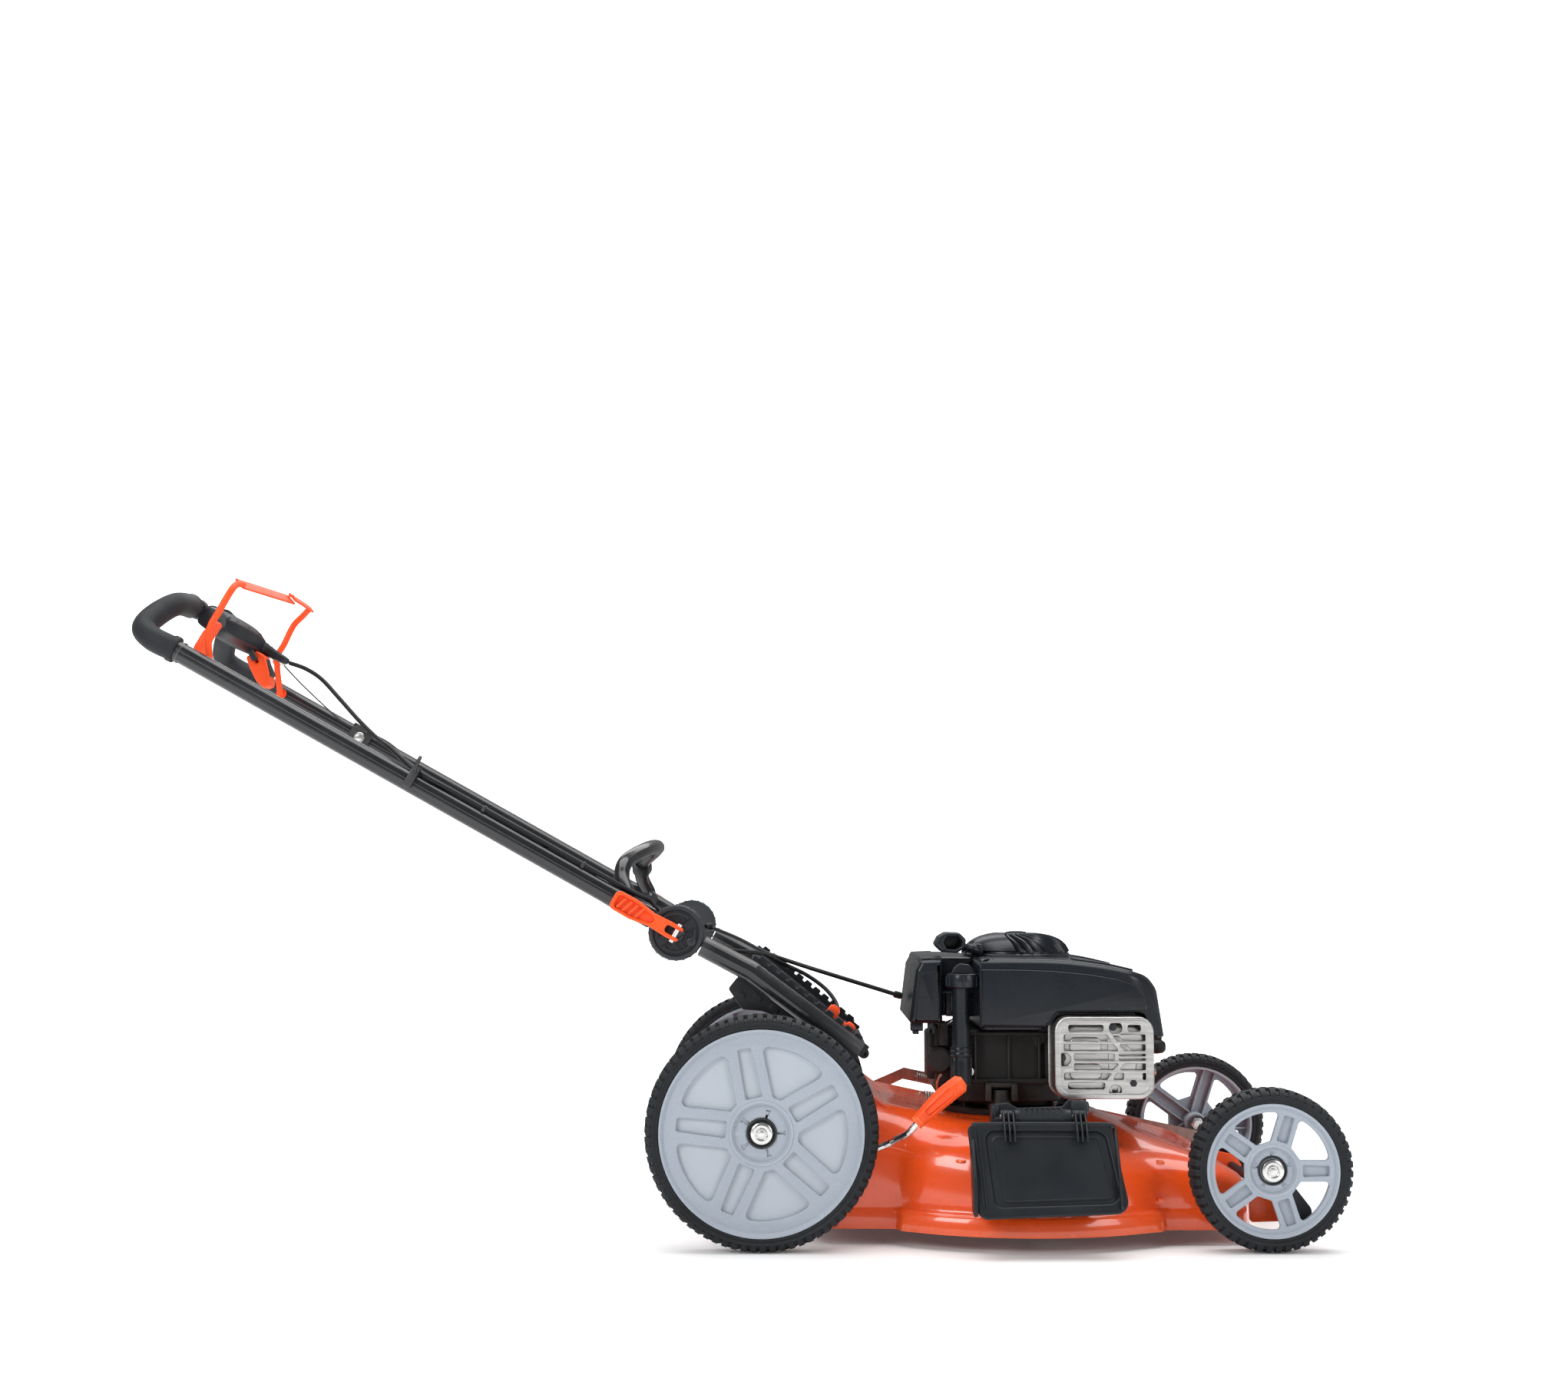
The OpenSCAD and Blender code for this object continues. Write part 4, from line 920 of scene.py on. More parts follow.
def engine_cover():
    """The engine shroud with its side panels, top ridges and rear block."""
    plan = fillet([(288, -167), (528, -167), (528, 164), (288, 164)], [3, 44, 44, 3], 16)
    loop = []
    for i, p in enumerate(plan):
        q = plan[(i + 1) % len(plan)]
        n = max(1, round((q - p).length / 7))
        loop += [p.lerp(q, k / n) for k in range(n)]
    count = len(loop)
    inward = []
    for i in range(count):
        d = loop[(i + 1) % count] - loop[i - 1]
        inward.append(Vector((-d.y, d.x)).normalized())
    edge = 11.0
    lean = lambda x, z: 11 * min(1.0, max(0.0, (336 - z) / 74)) * min(1.0, max(0.0, (x - 486) / 40))
    rows = []

    def row(offset, z_of):
        out = []
        for p, v in zip(loop, inward):
            q = p + v * offset
            z = z_of(q.x)
            out.append(Vector((q.x + lean(q.x, z), q.y, z)))
        rows.append(out)

    top = lambda x: along(COVER_TOP, x)
    low = lambda x: along(COVER_LOW, x)
    row(4, lambda x: low(x) + 16)
    row(4, lambda x: low(x) + 0.8)
    row(3.2, low)
    row(0.8, low)
    row(0, lambda x: low(x) + 0.8)
    for s in (0.25, 0.5, 0.75):
        row(0, lambda x, s=s: low(x) + (top(x) - edge - low(x)) * s)
    for k in range(7):
        a = RAD(15 * k)
        row(edge * (1 - math.cos(a)), lambda x, a=a: top(x) - edge * (1 - math.sin(a)))
    rim = rows[-1]
    for s in (0.12, 0.3, 0.5, 0.7, 0.88, 1.0):
        rows.append(
            [
                Vector((q.x + (408 - q.x) * s, q.y * (1 - s), top(q.x + (408 - q.x) * s) + 1.2 * s))
                for q in rim
            ]
        )
    verts = [v for r in rows for v in r]
    faces = []
    for i in range(len(rows) - 1):
        for k in range(count):
            j = (k + 1) % count
            faces.append((i * count + k, i * count + j, (i + 1) * count + j, (i + 1) * count + k))
    faces.append(tuple(reversed(range(count))))
    body = add("c", verts, faces, 40)
    panel = fillet(
        [
            (290, 278), (373, 278), (383, 285), (389, 297.5), (500, 297.5), (510, 301), (508, 318),
            (497, 331), (470, 340.5), (430, 347), (385, 351), (340, 352.6), (290, 353)
        ], [1, 4, 8, 8, 3, 5, 12, 16, 60, 80, 80, 80, 1], 6
    )
    face = plate("f", [panel], 5, 2.0, facing_right(0, -166.8, 0), rounds=4)
    face_left = plate("f", [panel], 5, 1.6, facing_right(0, 166.6, 0), rounds=4)
    ridge = [
        strip_between("r", smooth_path([(420, 363.6), (460, 358), (500, 349.2)], 6), 3.6, y, y + 8, 1.4)
        for y in (-118, -92, 84, 110)
    ]
    roof = [block("k", 241, 289, -52, 164, 284, 364, 4), block("k", 250, 289, -66, -52, 284, 340, 2)]
    for k in range(4):
        roof.append(block("k", 247 + 8 * k, 249 + 8 * k, -70, -52, 288, 336, 0.5))
    roof.append(block("k", 243, 288, -78, -52, 316, 320, 0.8))
    skirt = plate(
        "w", [fillet([(291, -160), (376, -160), (376, 158), (291, 158)], 10)], 5, 1, above_plan(272.5)
    )
    put(
        join("engine_cover_moulding", [body, face, face_left] + ridge + roof + [skirt]), "chassis",
        "cover_black", "engine_cover"
    )


engine_cover()


def dome_height(r):
    """The recoil dome's surface."""
    t = min(1.0, r / 72.0)
    return 368 + 27.5 * math.sqrt(max(0.0, 1 - t ** 3.1))


def recoil():
    """The recoil housing: a dome with curved fins."""
    centre_x = 355
    place = Matrix.Translation((centre_x, 0, 0))
    rs = [0, 12, 22, 30, 38, 46, 54, 60, 65, 68.5, 70.5]
    shell = [(r, dome_height(r) - 8.5) for r in rs] + [(70.5, 364), (0, 364)]
    parts = [lathe("d", shell, place, 96)]
    parts.append(
        lathe(
            "b",
            [(66, 364), (74.5, 364), (74.5, 367.6), (73.4, 369), (71.4, 369.6), (70.6, 372), (66, 372)],
            place, 120
        )
    )
    parts.append(
        lathe(
            "c", [(0, 397), (10, 397.2), (24, 396.4), (29.4, 395.6), (31, 394.2), (31, 388), (0, 388)],
            place, 72
        )
    )
    parts.append(lathe("c", [(0, 399), (8, 398.8), (14, 398), (15, 396), (0, 396)], place, 48))
    fins = 30
    for k in range(fins):
        a0 = 360 * k / fins
        if 172 < a0 < 236:
            continue
        path = []
        for i in range(11):
            r = 28 + 43.5 * i / 10
            a = a0 + 30 * ((r - 28) / 43.5) ** 1.2
            path.append(Vector((centre_x + r * math.cos(RAD(a)), r * math.sin(RAD(a)), dome_height(r) - 1.6)))
        parts.append(
            sweep(
                "f", path, [(-1.5, -9), (1.5, -9), (2.1, 1.6), (1.2, 3.2), (-1.2, 3.2), (-2.1, 1.6)],
                up=(0, 0, 1), sharp=50
            )
        )
    verts, faces, n, m = [], [], 22, 10
    for i in range(n + 1):
        for j in range(m + 1):
            r = 27 + 44.5 * j / m
            a = RAD(176 + 58 * i / n + 30 * ((r - 27) / 44.5) ** 1.2)
            verts.append(Vector((centre_x + r * math.cos(a), r * math.sin(a), dome_height(r) + 0.4)))
    faces = [
        (i * (m + 1) + j, i * (m + 1) + j + 1, (i + 1) * (m + 1) + j + 1, (i + 1) * (m + 1) + j)
        for i in range(n) for j in range(m)
    ]
    patch = add("p", verts, faces)
    t = patch.modifiers.new("t", "SOLIDIFY")
    t.thickness, t.offset = 0.004, 0
    parts.append(bake(patch))
    parts.append(block("n", 286, 302, -62, -46, 366.5, 383, 3))
    put(join("recoil_louvres", parts), "chassis", "cover_black", "recoil_housing")


recoil()


def pull_grip():
    """The starter grip."""
    outer = fillet(
        [
            (233, 383), (239, 394), (249, 399.5), (268, 399), (277, 390), (275, 378), (264, 371.5),
            (243, 373)
        ], 5, 5
    )
    hole = fillet(
        [(247, 385), (251, 393), (266, 393.5), (271, 387), (269.5, 380.5), (262, 376.5), (251, 377.5)], 3, 4
    )
    body = plate("g", [outer, hole], 42, 3.2, facing_right(0, -54, 0), rounds=4)
    back = plate("k", [outer], 5, 2, facing_right(0, -54, 0))
    stem = sweep(
        "s", smooth_path([(268, -68, 381), (280, -66, 378), (292, -62, 374.5), (299, -58, 371)], 5),
        ring(6.6, 18), scale=lambda t: 1.0 - 0.22 * math.sin(math.pi * min(1, t * 1.6))
    )
    rings = [
        lathe(
            "r", [(5.6, 0), (7.8, 0), (7.8, 2.4), (5.6, 2.4)],
            axes(p, (0, 1, 0), (0.3, 0, 0.95), (0.95, 0.1, -0.3)), 32
        ) for p in ((279, -66, 378), (288, -63.4, 375.6))
    ]
    put(join("starter_grip_moulding", [body, back, stem] + rings), "starter", "cover_black", "starter_grip")


pull_grip()


def filter_box():
    """The air filter housing with its lid."""
    front = fillet([(197, 279), (206, 350), (213, 362.5), (241.6, 364), (241.6, 279)], [3, 8, 6, 3, 3], 5)
    body = plate("b", [front], 262, 7, facing_right(0, 130, 0), rounds=5)
    lid = plate(
        "l", [fillet([(208, 358), (214, 366), (243, 367), (243, 361), (222, 360)], 2)], 236, 2,
        facing_right(0, 118, 0)
    )
    facet = plate(
        "f", [fillet([(205, 283), (212, 345), (236, 349), (236, 283)], 3)], 2.4, 1,
        facing_right(0, -130.4, 0)
    )
    clips = [
        block("c", 199, 216, -120, -108, 268, 279.5, 1.5), block("c", 202, 210, -124, -104, 264, 268.6, 1),
        block("c", 222, 225, -118, -110, 266, 280, 0.8), block("c", 229, 231.5, -118, -110, 264, 280, 0.8)
    ]
    put(join("air_filter_box", [body, lid, facet] + clips), "chassis", "cover_black", "air_filter_cover")


filter_box()


def oil_filler():
    """The oil filler tube, and the cap with its dipstick."""
    at = Matrix.Translation((265, -145, 0))
    parts = [
        lathe("t", [(6.5, 210), (13, 210), (12.4, 250), (11.2, 300), (11.4, 327), (6.5, 327)], at, 48),
        lathe(
            "c",
            [
                (8, 236), (14.2, 236), (15, 238), (15, 241), (14, 243), (14.6, 245.4), (14, 248),
                (12.6, 250), (8, 250)
            ], at, 48
        ), lathe("b", [(6, 198), (14, 200), (13.6, 222), (12.2, 236), (6, 236)], at, 40),
        lathe("u", [(8, 318), (11.4, 318), (11.4, 326.6), (8, 326.6)], at, 40)
    ]
    parts += [
        block("w", 251, 256, -150, -132, 198, 240, 1.2), block("w", 274, 279, -150, -132, 198, 240, 1.2),
        block("w", 252, 278, -136, -116, 200, 244, 2)
    ]
    put(join("oil_filler_tube", parts), "chassis", "cover_black", "oil_tube")
    cap = Matrix.Translation((267, -145, 0))
    dish = lathe(
        "d",
        [
            (0, 330), (12, 330), (18.4, 327.6), (20.4, 329), (21.2, 333), (21.2, 343), (20, 345.6),
            (17.4, 346.4), (14.8, 344), (12, 341.4), (0, 341)
        ], cap, 72
    )
    wing = plate(
        "w",
        [
            fillet(
                [(-18.5, 340), (-12, 353.5), (-4, 360), (9, 358.6), (16.5, 350), (18.5, 340)],
                [1, 8, 6, 6, 6, 1], 6
            )
        ], 6.4, 2.2, facing_right(267, -141.8, 0), rounds=4
    )
    scallops = [
        lathe(
            "s", [(0, 330), (1.5, 330), (1.5, 343), (0, 343)],
            Matrix.Translation((267 + 21 * math.cos(RAD(30 * k)), -145 + 21 * math.sin(RAD(30 * k)), 0)), 10
        ) for k in range(12)
    ]
    stick = lathe("r", [(0, 221), (2, 221), (2, 330), (0, 330)], at, 16)
    put(join("oil_cap_winged", [dish, wing, stick] + scallops), "dipstick", "cover_black", "oil_cap")


oil_filler()


def crankcase():
    """Cast walls, ribs, flange, studs and the parts hung on them."""
    parts = [
        plate(
            "b",
            [
                fillet(
                    [(264, -110), (300, -116), (372, -116), (404, -96), (404, 98), (264, 100)],
                    [16, 20, 30, 16, 16, 16], 6
                )
            ], 96, 3, above_plan(173)
        ),
        plate(
            "f", [fillet([(256, -117), (392, -124), (414, -100), (414, 104), (256, 106)], 14, 5)], 7, 1.5,
            above_plan(198)
        ),
        plate(
            "g", [fillet([(262, -119), (386, -120), (408, -98), (408, 102), (262, 104)], 14, 5)], 5, 1.2,
            above_plan(262)
        ),
        lathe(
            "r",
            [(0, 153.4), (104, 153.4), (105, 156), (104, 161), (98, 164), (91, 166), (89, 178), (0, 178)],
            Matrix.Translation((SPINDLE, 0, 0)), 96
        )
    ]
    for x in (286, 331, 372):
        parts.append(block("v", x - 1.6, x + 1.6, -121, -108, 204, 262, 0.8))
    for x, w in ((302, 8), (337, 8)):
        parts.append(block("v", x - w / 2, x + w / 2, -136, -108, 176, 199, 1.6))
    parts.append(block("v", 298, 341, -132, -108, 194, 200, 1.6))
    parts.append(
        lathe(
            "s", [(0, 166), (16, 166), (13.5, 176), (12, 190), (0, 190)],
            Matrix.Translation((319.5, -119, 0)), 36
        )
    )
    for a in (200, 222, 244, 296, 318, 340):
        c, s = math.cos(RAD(a)), math.sin(RAD(a))
        parts.append(
            sweep(
                "w", [(SPINDLE + 86 * c, 86 * s, 166), (SPINDLE + 101 * c, 101 * s, 162)],
                [(-2, -8), (2, -8), (1.4, 7), (-1.4, 7)], up=(0, 0, 1)
            )
        )
    parts.append(plate("h", [box2(398, 522, -78, 78, 12)], 88, 3, above_plan(187)))
    for k in range(7):
        parts.append(plate("i", [box2(402, 531, -89, 89, 12)], 3.2, 1, above_plan(192 + 12 * k)))
    for k in range(5):
        parts.append(block("j", 396 + 24 * k, 404 + 24 * k, -122, -84, 281, 293, 1.5))
    parts += [block("m", 380, 392, -112, -96, 196, 262, 2), block("m", 384, 406, -118, -92, 243, 262, 2)]
    parts.append(
        plate(
            "n", [fillet([(368, 244), (392, 262), (392, 282), (384, 278), (362, 262)], 3)], 6, 1.2,
            facing_right(0, -112, 0)
        )
    )
    parts += [block("c", 236, 262, -66, 60, 178, 270, 5), block("c", 226, 238, -40, 24, 196, 262, 4),
              lathe("c", [(0, 0), (18, 0), (18, 24), (14, 30), (0, 30)], facing_right(240, -66, 226), 40),
              block("c", 228, 236, -84, -58, 214, 244, 2), block("c", 240, 252, -92, -62, 246, 276, 2.5)]
    for z in (188, 252):
        parts.append(lathe("n", [(0, 0), (6, 0), (6, 7), (0, 7)], facing_right(248, -66, z), 24))
    put(join("crankcase_casting", parts), "chassis", "engine_casting", "engine_block")
    small = [
        hex_head("x", Matrix.Translation((x, y, z)), 6, 5.5, 8) for x, y,
        z in ((262, -104, 205), (404, -92, 205), (262, 96, 205), (404, 94, 205))
    ]
    small += [tube("x", [(243, -74, 262), (250, -86, 274), (262, -92, 284)], 2.0, 5, 10),
              tube("x", [(240, -70, 178), (238, -78, 196), (246, -84, 214)], 2.2, 5, 10)]
    small += [
        hex_head("x", facing_right(x, y, z), 5, 4, 6.5) for x, y, z in ((278, -118, 214), (396, -112, 250))
    ]
    for k in range(3):
        c, s = math.cos(RAD(120 * k + 60)), math.sin(RAD(120 * k + 60))
        small.append(hex_head("x", Matrix.Translation((SPINDLE + 88 * c, 88 * s, 162.6)), 8, 7, 10))
    put(join("engine_studs", small), "chassis", "bright_steel")


crankcase()


def muffler_and_guard():
    """The muffler and its slotted guard."""
    x0, x1, z0, z1 = 384, 514, 185, 292
    slots = []
    for k, top in enumerate((281.5, 269, 256.5, 244, 231.5, 219, 206.5)):
        low = top - 8.6
        left = 409 if k in (3, 4) else 396
        mid = {0: None, 1: (456, 462), 2: (464, 472), 3: None, 4: (472, 464), 5: (462, 456), 6: None}[k]
        right = 503
        if k == 0:
            slots += [box2(left + 6, 448, low, top, 2.5), box2(480, 497, low, top, 2.5)]
        elif k == 6:
            slots.append(box2(left + 5, 449, low, top, 2.5))
        elif k == 3:
            slots += [
                box2(left, 462, low, top, 1.5), box2(468, right, low + 5.6, top, 1),
                box2(468, right, low, low + 2.6, 0.8)
            ]
        else:
            a, b = mid
            slots.append(fillet([(left, low), (b - 3.4, low), (a - 3.4, top), (left, top)], 1.5, 3))
            end = 474 if k == 5 else right
            if end - b > 8:
                slots.append(fillet([(b + 3.4, low), (end, low), (end, top), (a + 3.4, top)], 1.5, 3))
            if k == 5:
                slots.append(box2(499, right, low, top, 1.5))
    holes = [circle2(464, 277.5, 8.6), circle2(396.4, 236.4, 8.6), circle2(463, 195.8, 8.0)]
    front = plate(
        "f", [box2(x0, x1, z0, z1, 19), *slots, *holes], 3.2, 1.2, facing_right(0, -190.8, 0), rounds=3
    )
    rim = plate(
        "r", [box2(x0, x1, z0, z1, 19), box2(x0 + 8.5, x1 - 8.5, z0 + 8.5, z1 - 8.5, 12)], 5, 2.4,
        facing_right(0, -189.6, 0), rounds=4
    )
    band = plate(
        "b", [box2(x0, x1, z0, z1, 19), box2(x0 + 2, x1 - 2, z0 + 2, z1 - 2, 17)], 58, 0.6,
        facing_right(0, -133, 0)
    )
    fold = plate(
        "e", [box2(x0 - 2, x1 + 2, z0 - 2, z1 + 2, 20), box2(x0 + 2, x1 - 2, z0 + 2, z1 - 2, 17)], 3, 1,
        facing_right(0, -133, 0)
    )
    put(join("muffler_guard_pressing", [front, rim, band, fold]), "chassis", "brushed_guard", "muffler_guard")
    shell = plate("s", [box2(x0 + 9, x1 - 9, z0 + 8, z1 - 10, 20)], 49, 6, facing_right(0, -136, 0), rounds=4)
    boss = [
        plate(
            "t", [box2(x0 + 20, x0 + 62, z0 + 24 + 34 * k, z0 + 46 + 34 * k, 8)], 5, 2,
            facing_right(0, -183, 0)
        ) for k in (0, 1)
    ]
    boss.append(
        plate(
            "t",
            [
                fillet(
                    [
                        (x0 + 72, z0 + 20), (x0 + 104, z0 + 20), (x0 + 110, z0 + 52), (x0 + 84, z0 + 84),
                        (x0 + 70, z0 + 78)
                    ], 8
                )
            ], 4, 1.8, facing_right(0, -183, 0)
        )
    )
    pipe = lathe("p", [(0, 0), (11, 0), (11, 44), (0, 44)], facing_right(430, -92, 232), 40)
    seam = plate("q", [box2(x0 + 5, x1 - 5, z0 + 4, z1 - 6, 22)], 3, 1.2, facing_right(0, -150, 0))
    outlet = lathe("o", [(4.5, 0), (7, 0), (7, 9), (4.5, 9)], facing_right(463, -180, 197), 32)
    put(join("muffler_shell", [shell, pipe, seam, outlet] + boss), "chassis", "brushed_guard", "muffler")
    dark = [lathe("d", [(0, 0), (5.4, 0), (5.4, 3), (4, 4), (0, 4)], facing_right(x, -186, z), 28)
            for x, z in ((461, 279), (393.6, 238))]
    dark.append(hex_head("d", facing_right(486.5, -191, 206), 5, 3.4, 6.8))
    put(join("guard_screws", dark), "chassis", "bracket_black")
    plug = [
        lathe(
            "k", [(0, 0), (7, 0), (7.4, 3), (9.4, 5), (10, 14), (9, 22), (6, 26), (0, 26)],
            facing_front(531.6, -30, 240), 40
        )
    ]
    plug.append(
        tube(
            "k", [(549, -30, 246), (551, -26, 262), (544, -12, 276), (528, 0, 284), (508, 4, 288)], 3.4, 6,
            12
        )
    )
    plug += [lathe("k", [(0, 0), (6, 0), (5, 8), (0, 9)], facing_front(529, -96, 259), 24),
             block("k", 512, 531, -102, -90, 252, 266, 2), block("k", 500, 516, -100, -80, 256, 262, 1)]
    put(join("spark_plug_boot", plug), "chassis", "cable_black", "spark_plug")
    bracket = [
        block("k", 514, 524, -128, -100, 206, 224, 1.5),
        hex_head("k", facing_front(524, -114, 214), 5, 4, 7)
    ]
    put(join("muffler_bracket", bracket), "chassis", "bright_steel")


muffler_and_guard()


def fuel_knob():
    """The fluted fuel cap."""
    at = Matrix.Translation((330, 118, 366))
    body = lathe(
        "b", [(0, 0.4), (22, 0.4), (22.4, 2), (22, 13), (20, 15), (17.5, 15.4), (16, 18), (0, 18.6)], at, 72
    )
    grips = [
        placed(block("g", 21, 23.4, -1.4, 1.4, 2, 13, 0.6), at @ Matrix.Rotation(RAD(18 * k), 4, "Z"))
        for k in range(20)
    ]
    put(join("fuel_cap_fluted", [body] + grips), "chassis", "cover_black", "fuel_cap")


fuel_knob()

# ---------- discharge chute ----------


def chute():
    """The side discharge flap, its hinge housing and its coil spring."""
    top, low = Vector((0, -262, 160)), Vector((0, -317, 50))
    down = (low - top).normalized()
    length = (low - top).length
    place = axes((0, top.y, top.z), (1, 0, 0), tuple(-down), tuple(Vector((1, 0, 0)).cross(-down)))
    outline = fillet([(272, -length), (462, -length + 8), (446, 0), (262, 0)], [12, 16, 12, 8], 6)
    inner = fillet([(293, -length + 15), (451, -length + 20), (437, -9), (284, -8)], [10, 14, 14, 12], 6)
    at = lambda h: place @ Matrix.Translation((0, 0, h))
    frame_face = plate("f", [outline, inner], 6.5, 2.2, at(-3.5), rounds=4)
    panel = plate(
        "p", [fillet([(291, -length + 13), (453, -length + 18), (439, -7), (282, -6)], 12, 6)], 4, 1.2,
        at(-4.6)
    )
    bead = plate(
        "i",
        [
            fillet([(300, -length + 21), (444, -length + 26), (431, -15), (291, -14)], 9, 5),
            fillet([(303, -length + 24), (441, -length + 29), (428, -18), (294, -17)], 7, 5)
        ], 1.6, 0.6, at(-1.2)
    )
    rib = [
        plate(
            "r",
            [
                fillet(
                    [
                        (277.5 + k * 4, -length + 14), (279.5 + k * 4, -length + 14), (272.5 + k * 5, -8),
                        (270.5 + k * 5, -8)
                    ], 0.8
                )
            ], 2.5, 0.7, at(2.2)
        ) for k in range(2)
    ]
    left = plate("w", [fillet([(-262, 159), (-248, 148), (-286, 54), (-322, 52), (-306, 100)], 6, 4)], 5, 1.5,
                 facing_front(266, 0, 0))
    right = plate(
        "w", [fillet([(-262, 159), (-250, 150), (-290, 60), (-320, 60), (-304, 100)], 6, 4)], 4, 1.2,
        facing_front(449, 0, 0)
    )
    knuckles = []
    for x in (307, 399):
        knuckles.append(
            lathe(
                "k", [(3.1, 0), (8.8, 0), (9.2, 0.8), (9.2, 16.2), (8.8, 17), (3.1, 17)],
                facing_front(x, -243, 168), 40
            )
        )
        for k in range(3):
            fin = fillet(
                [(-252, 177), (-257, 175.5), (-277, 154), (-283, 138), (-270, 146), (-250, 160)], 2, 3
            )
            knuckles.append(plate("g", [fin], 2.6, 0.9, facing_front(x + 1 + 6.2 * k, 0, 0)))
    hem = tube(
        "h", [(268, -263, 160.5), (300, -263, 161), (380, -263, 161), (440, -263, 160.5), (448, -265, 156)],
        3.2, 5, 12
    )
    put(
        join("chute_flap_moulding", [frame_face, panel, bead, left, right, hem] + rib + knuckles), "chute",
        "flap_black", "chute_flap"
    )

    body = [
        plate(
            "b",
            [
                fillet(
                    [
                        (294, 0), (418, 0), (421, 24), (412, 30), (396, 31), (388, 22), (330, 20),
                        (318, 27), (300, 25)
                    ], 4, 4
                )
            ], 14, 3, axes((0, -222, 156), (1, 0, 0), (0, 0.25, 0.968), (0, -0.968, 0.25)), rounds=4
        ), block("b", 299, 417, -240, -206, 158, 168, 3), block("b", 306, 417, -228, -217, 147, 160, 1.5)
    ]
    for x in (324.5, 387.5):
        body.append(
            lathe(
                "k", [(3.1, 0), (9.4, 0), (10, 0.8), (10, 9.2), (9.4, 10), (3.1, 10)],
                facing_front(x, -243, 168), 40
            )
        )
    body.append(block("b", 328, 392, -253, -236, 157.5, 177, 4))
    body += [block("b", x, x + 3.4, -253.5, -234, 159, 179, 1.4) for x in range(334, 386, 7)]
    body.append(block("b", 398, 421, -238, -214, 166, 187, 4))
    body.append(block("b", 296, 306, -236, -212, 164, 182, 3))
    put(join("chute_hinge_housing", body), "chassis", "flap_black", "chute_hinge")
    coil, turns = [], 8.5
    for i in range(int(turns * 20) + 1):
        a = 2 * math.pi * i / 20
        coil.append(Vector((338 + 45 * i / (turns * 20), -243 + 6.2 * math.cos(a), 168 + 6.2 * math.sin(a))))
    put(sweep("chute_coil_spring", coil, ring(1.5, 8), up=None), "chassis", "flap_black", "chute_spring")


chute()

# ---------- handle ----------


def grid_strip(p, q, width, thick):
    """Flat spring-steel band from p to q, its wide side leaning forward."""
    return sweep(
        "b", smooth_path([p, (Vector(p) + Vector(q)) / 2, q], 8),
        fillet(
            [
                (-width / 2, -thick / 2), (width / 2, -thick / 2), (width / 2, thick / 2),
                (-width / 2, thick / 2)
            ], thick * 0.4, 3
        ), up=(0.75, 0, 0.66)
    )


def handle_tubes():
    """The two upper handle tubes."""
    for side, name, node in ((-1, "right", "upper_tube_right"), (1, "left", "upper_tube_left")):
        y = side * TUBE_Y
        swell = lambda t: 1.0 + 0.06 * math.exp(-((t - 0.05) / 0.03) ** 2)
        section = [
            (
                13.6 * math.copysign(abs(math.cos(a)) ** 0.86, math.cos(a)),
                13.6 * math.copysign(abs(math.sin(a)) ** 0.86, math.sin(a))
            ) for a in (2 * math.pi * k / 36 for k in range(36))
        ]
        main = sweep(
            "t", [on_tube(39 + 731 * k / 40, y) for k in range(41)], section, up=tuple(NORMAL), scale=swell
        )
        seam = [
            sweep(
                "s", [on_tube(60, y + s * 13.2, 2.2), on_tube(758, y + s * 13.2, 2.2)], ring(0.7, 8),
                up=tuple(NORMAL)
            ) for s in (-1, 1)
        ]
        ear = plate("e", [fillet([(-34, -12), (6, -13), (14, 0), (6, 13), (-34, 12)], 4)], 5.6, 1.2,
                    facing_right(*on_tube(42, y + side * 8 + 2.8)) @ Matrix.Rotation(-SLOPE, 4, "Z"))
        stop = lathe("c", [(12.6, 0), (14.8, 0), (14.8, 3), (13.6, 4), (12.6, 4)],
                     axes(tuple(on_tube(752, y)), (0, 1, 0), tuple(NORMAL), tuple(ALONG)), 40)
        put(join("handle_tube_" + name, [main, ear, stop] + seam), "handle", "tube_black", node)


handle_tubes()


def loop_path(side, points):
    """The points with y on one side: -1 for right, 1 for left."""
    return [Vector((p[0], side * abs(p[1]) if abs(p[1]) > 0 else 0, p[2])) for p in points]


def loop_and_grips():
    """The bar across the top of the handle, and the grip sleeves."""
    q = on_tube(765, -TUBE_Y)
    outer = [
        tuple(q), (-808, -213, 790), (-824, -200, 806), (-816, -173, 827), (-800, -140, 845),
        (-796, -84, 850)
    ]
    bar = outer + [(-796, 0, 850)]
    right = loop_path(-1, bar)
    left = list(reversed(loop_path(1, outer)))
    put(tube("handle_loop_bar", right + left, 9.6, 8, 20), "handle", "tube_black", "top_bar")
    pieces = []
    for side in (-1, 1):
        path = smooth_path(loop_path(side, outer), 12)
        pieces.append(sweep("g", path, ring(16.2, 32), scale=lambda t: 1.0 + 0.02 * math.sin(14 * t)))
        first, nxt = path[0], path[1]
        d = (nxt - first).normalized()
        pieces.append(lathe("l", [(11, -5), (17.4, -5), (18.2, -3.4), (18.2, 3), (17, 5), (15, 6), (11, 6)],
                            axes(tuple(first), (0, 1, 0), tuple(d.cross(Vector((0, 1, 0)))), tuple(d)), 40))
        d = (path[-1] - path[-2]).normalized()
        pieces.append(
            lathe(
                "l", [(9, -3), (16.8, -3), (17.2, -1), (16.6, 2.6), (14, 4.4), (9, 4.8)],
                axes(tuple(path[-1]), (1, 0, 0), tuple(d.cross(Vector((1, 0, 0)))), tuple(d)), 40
            )
        )
    put(join("grip_sleeves", pieces), "handle", "grip_foam", "grips")


loop_and_grips()


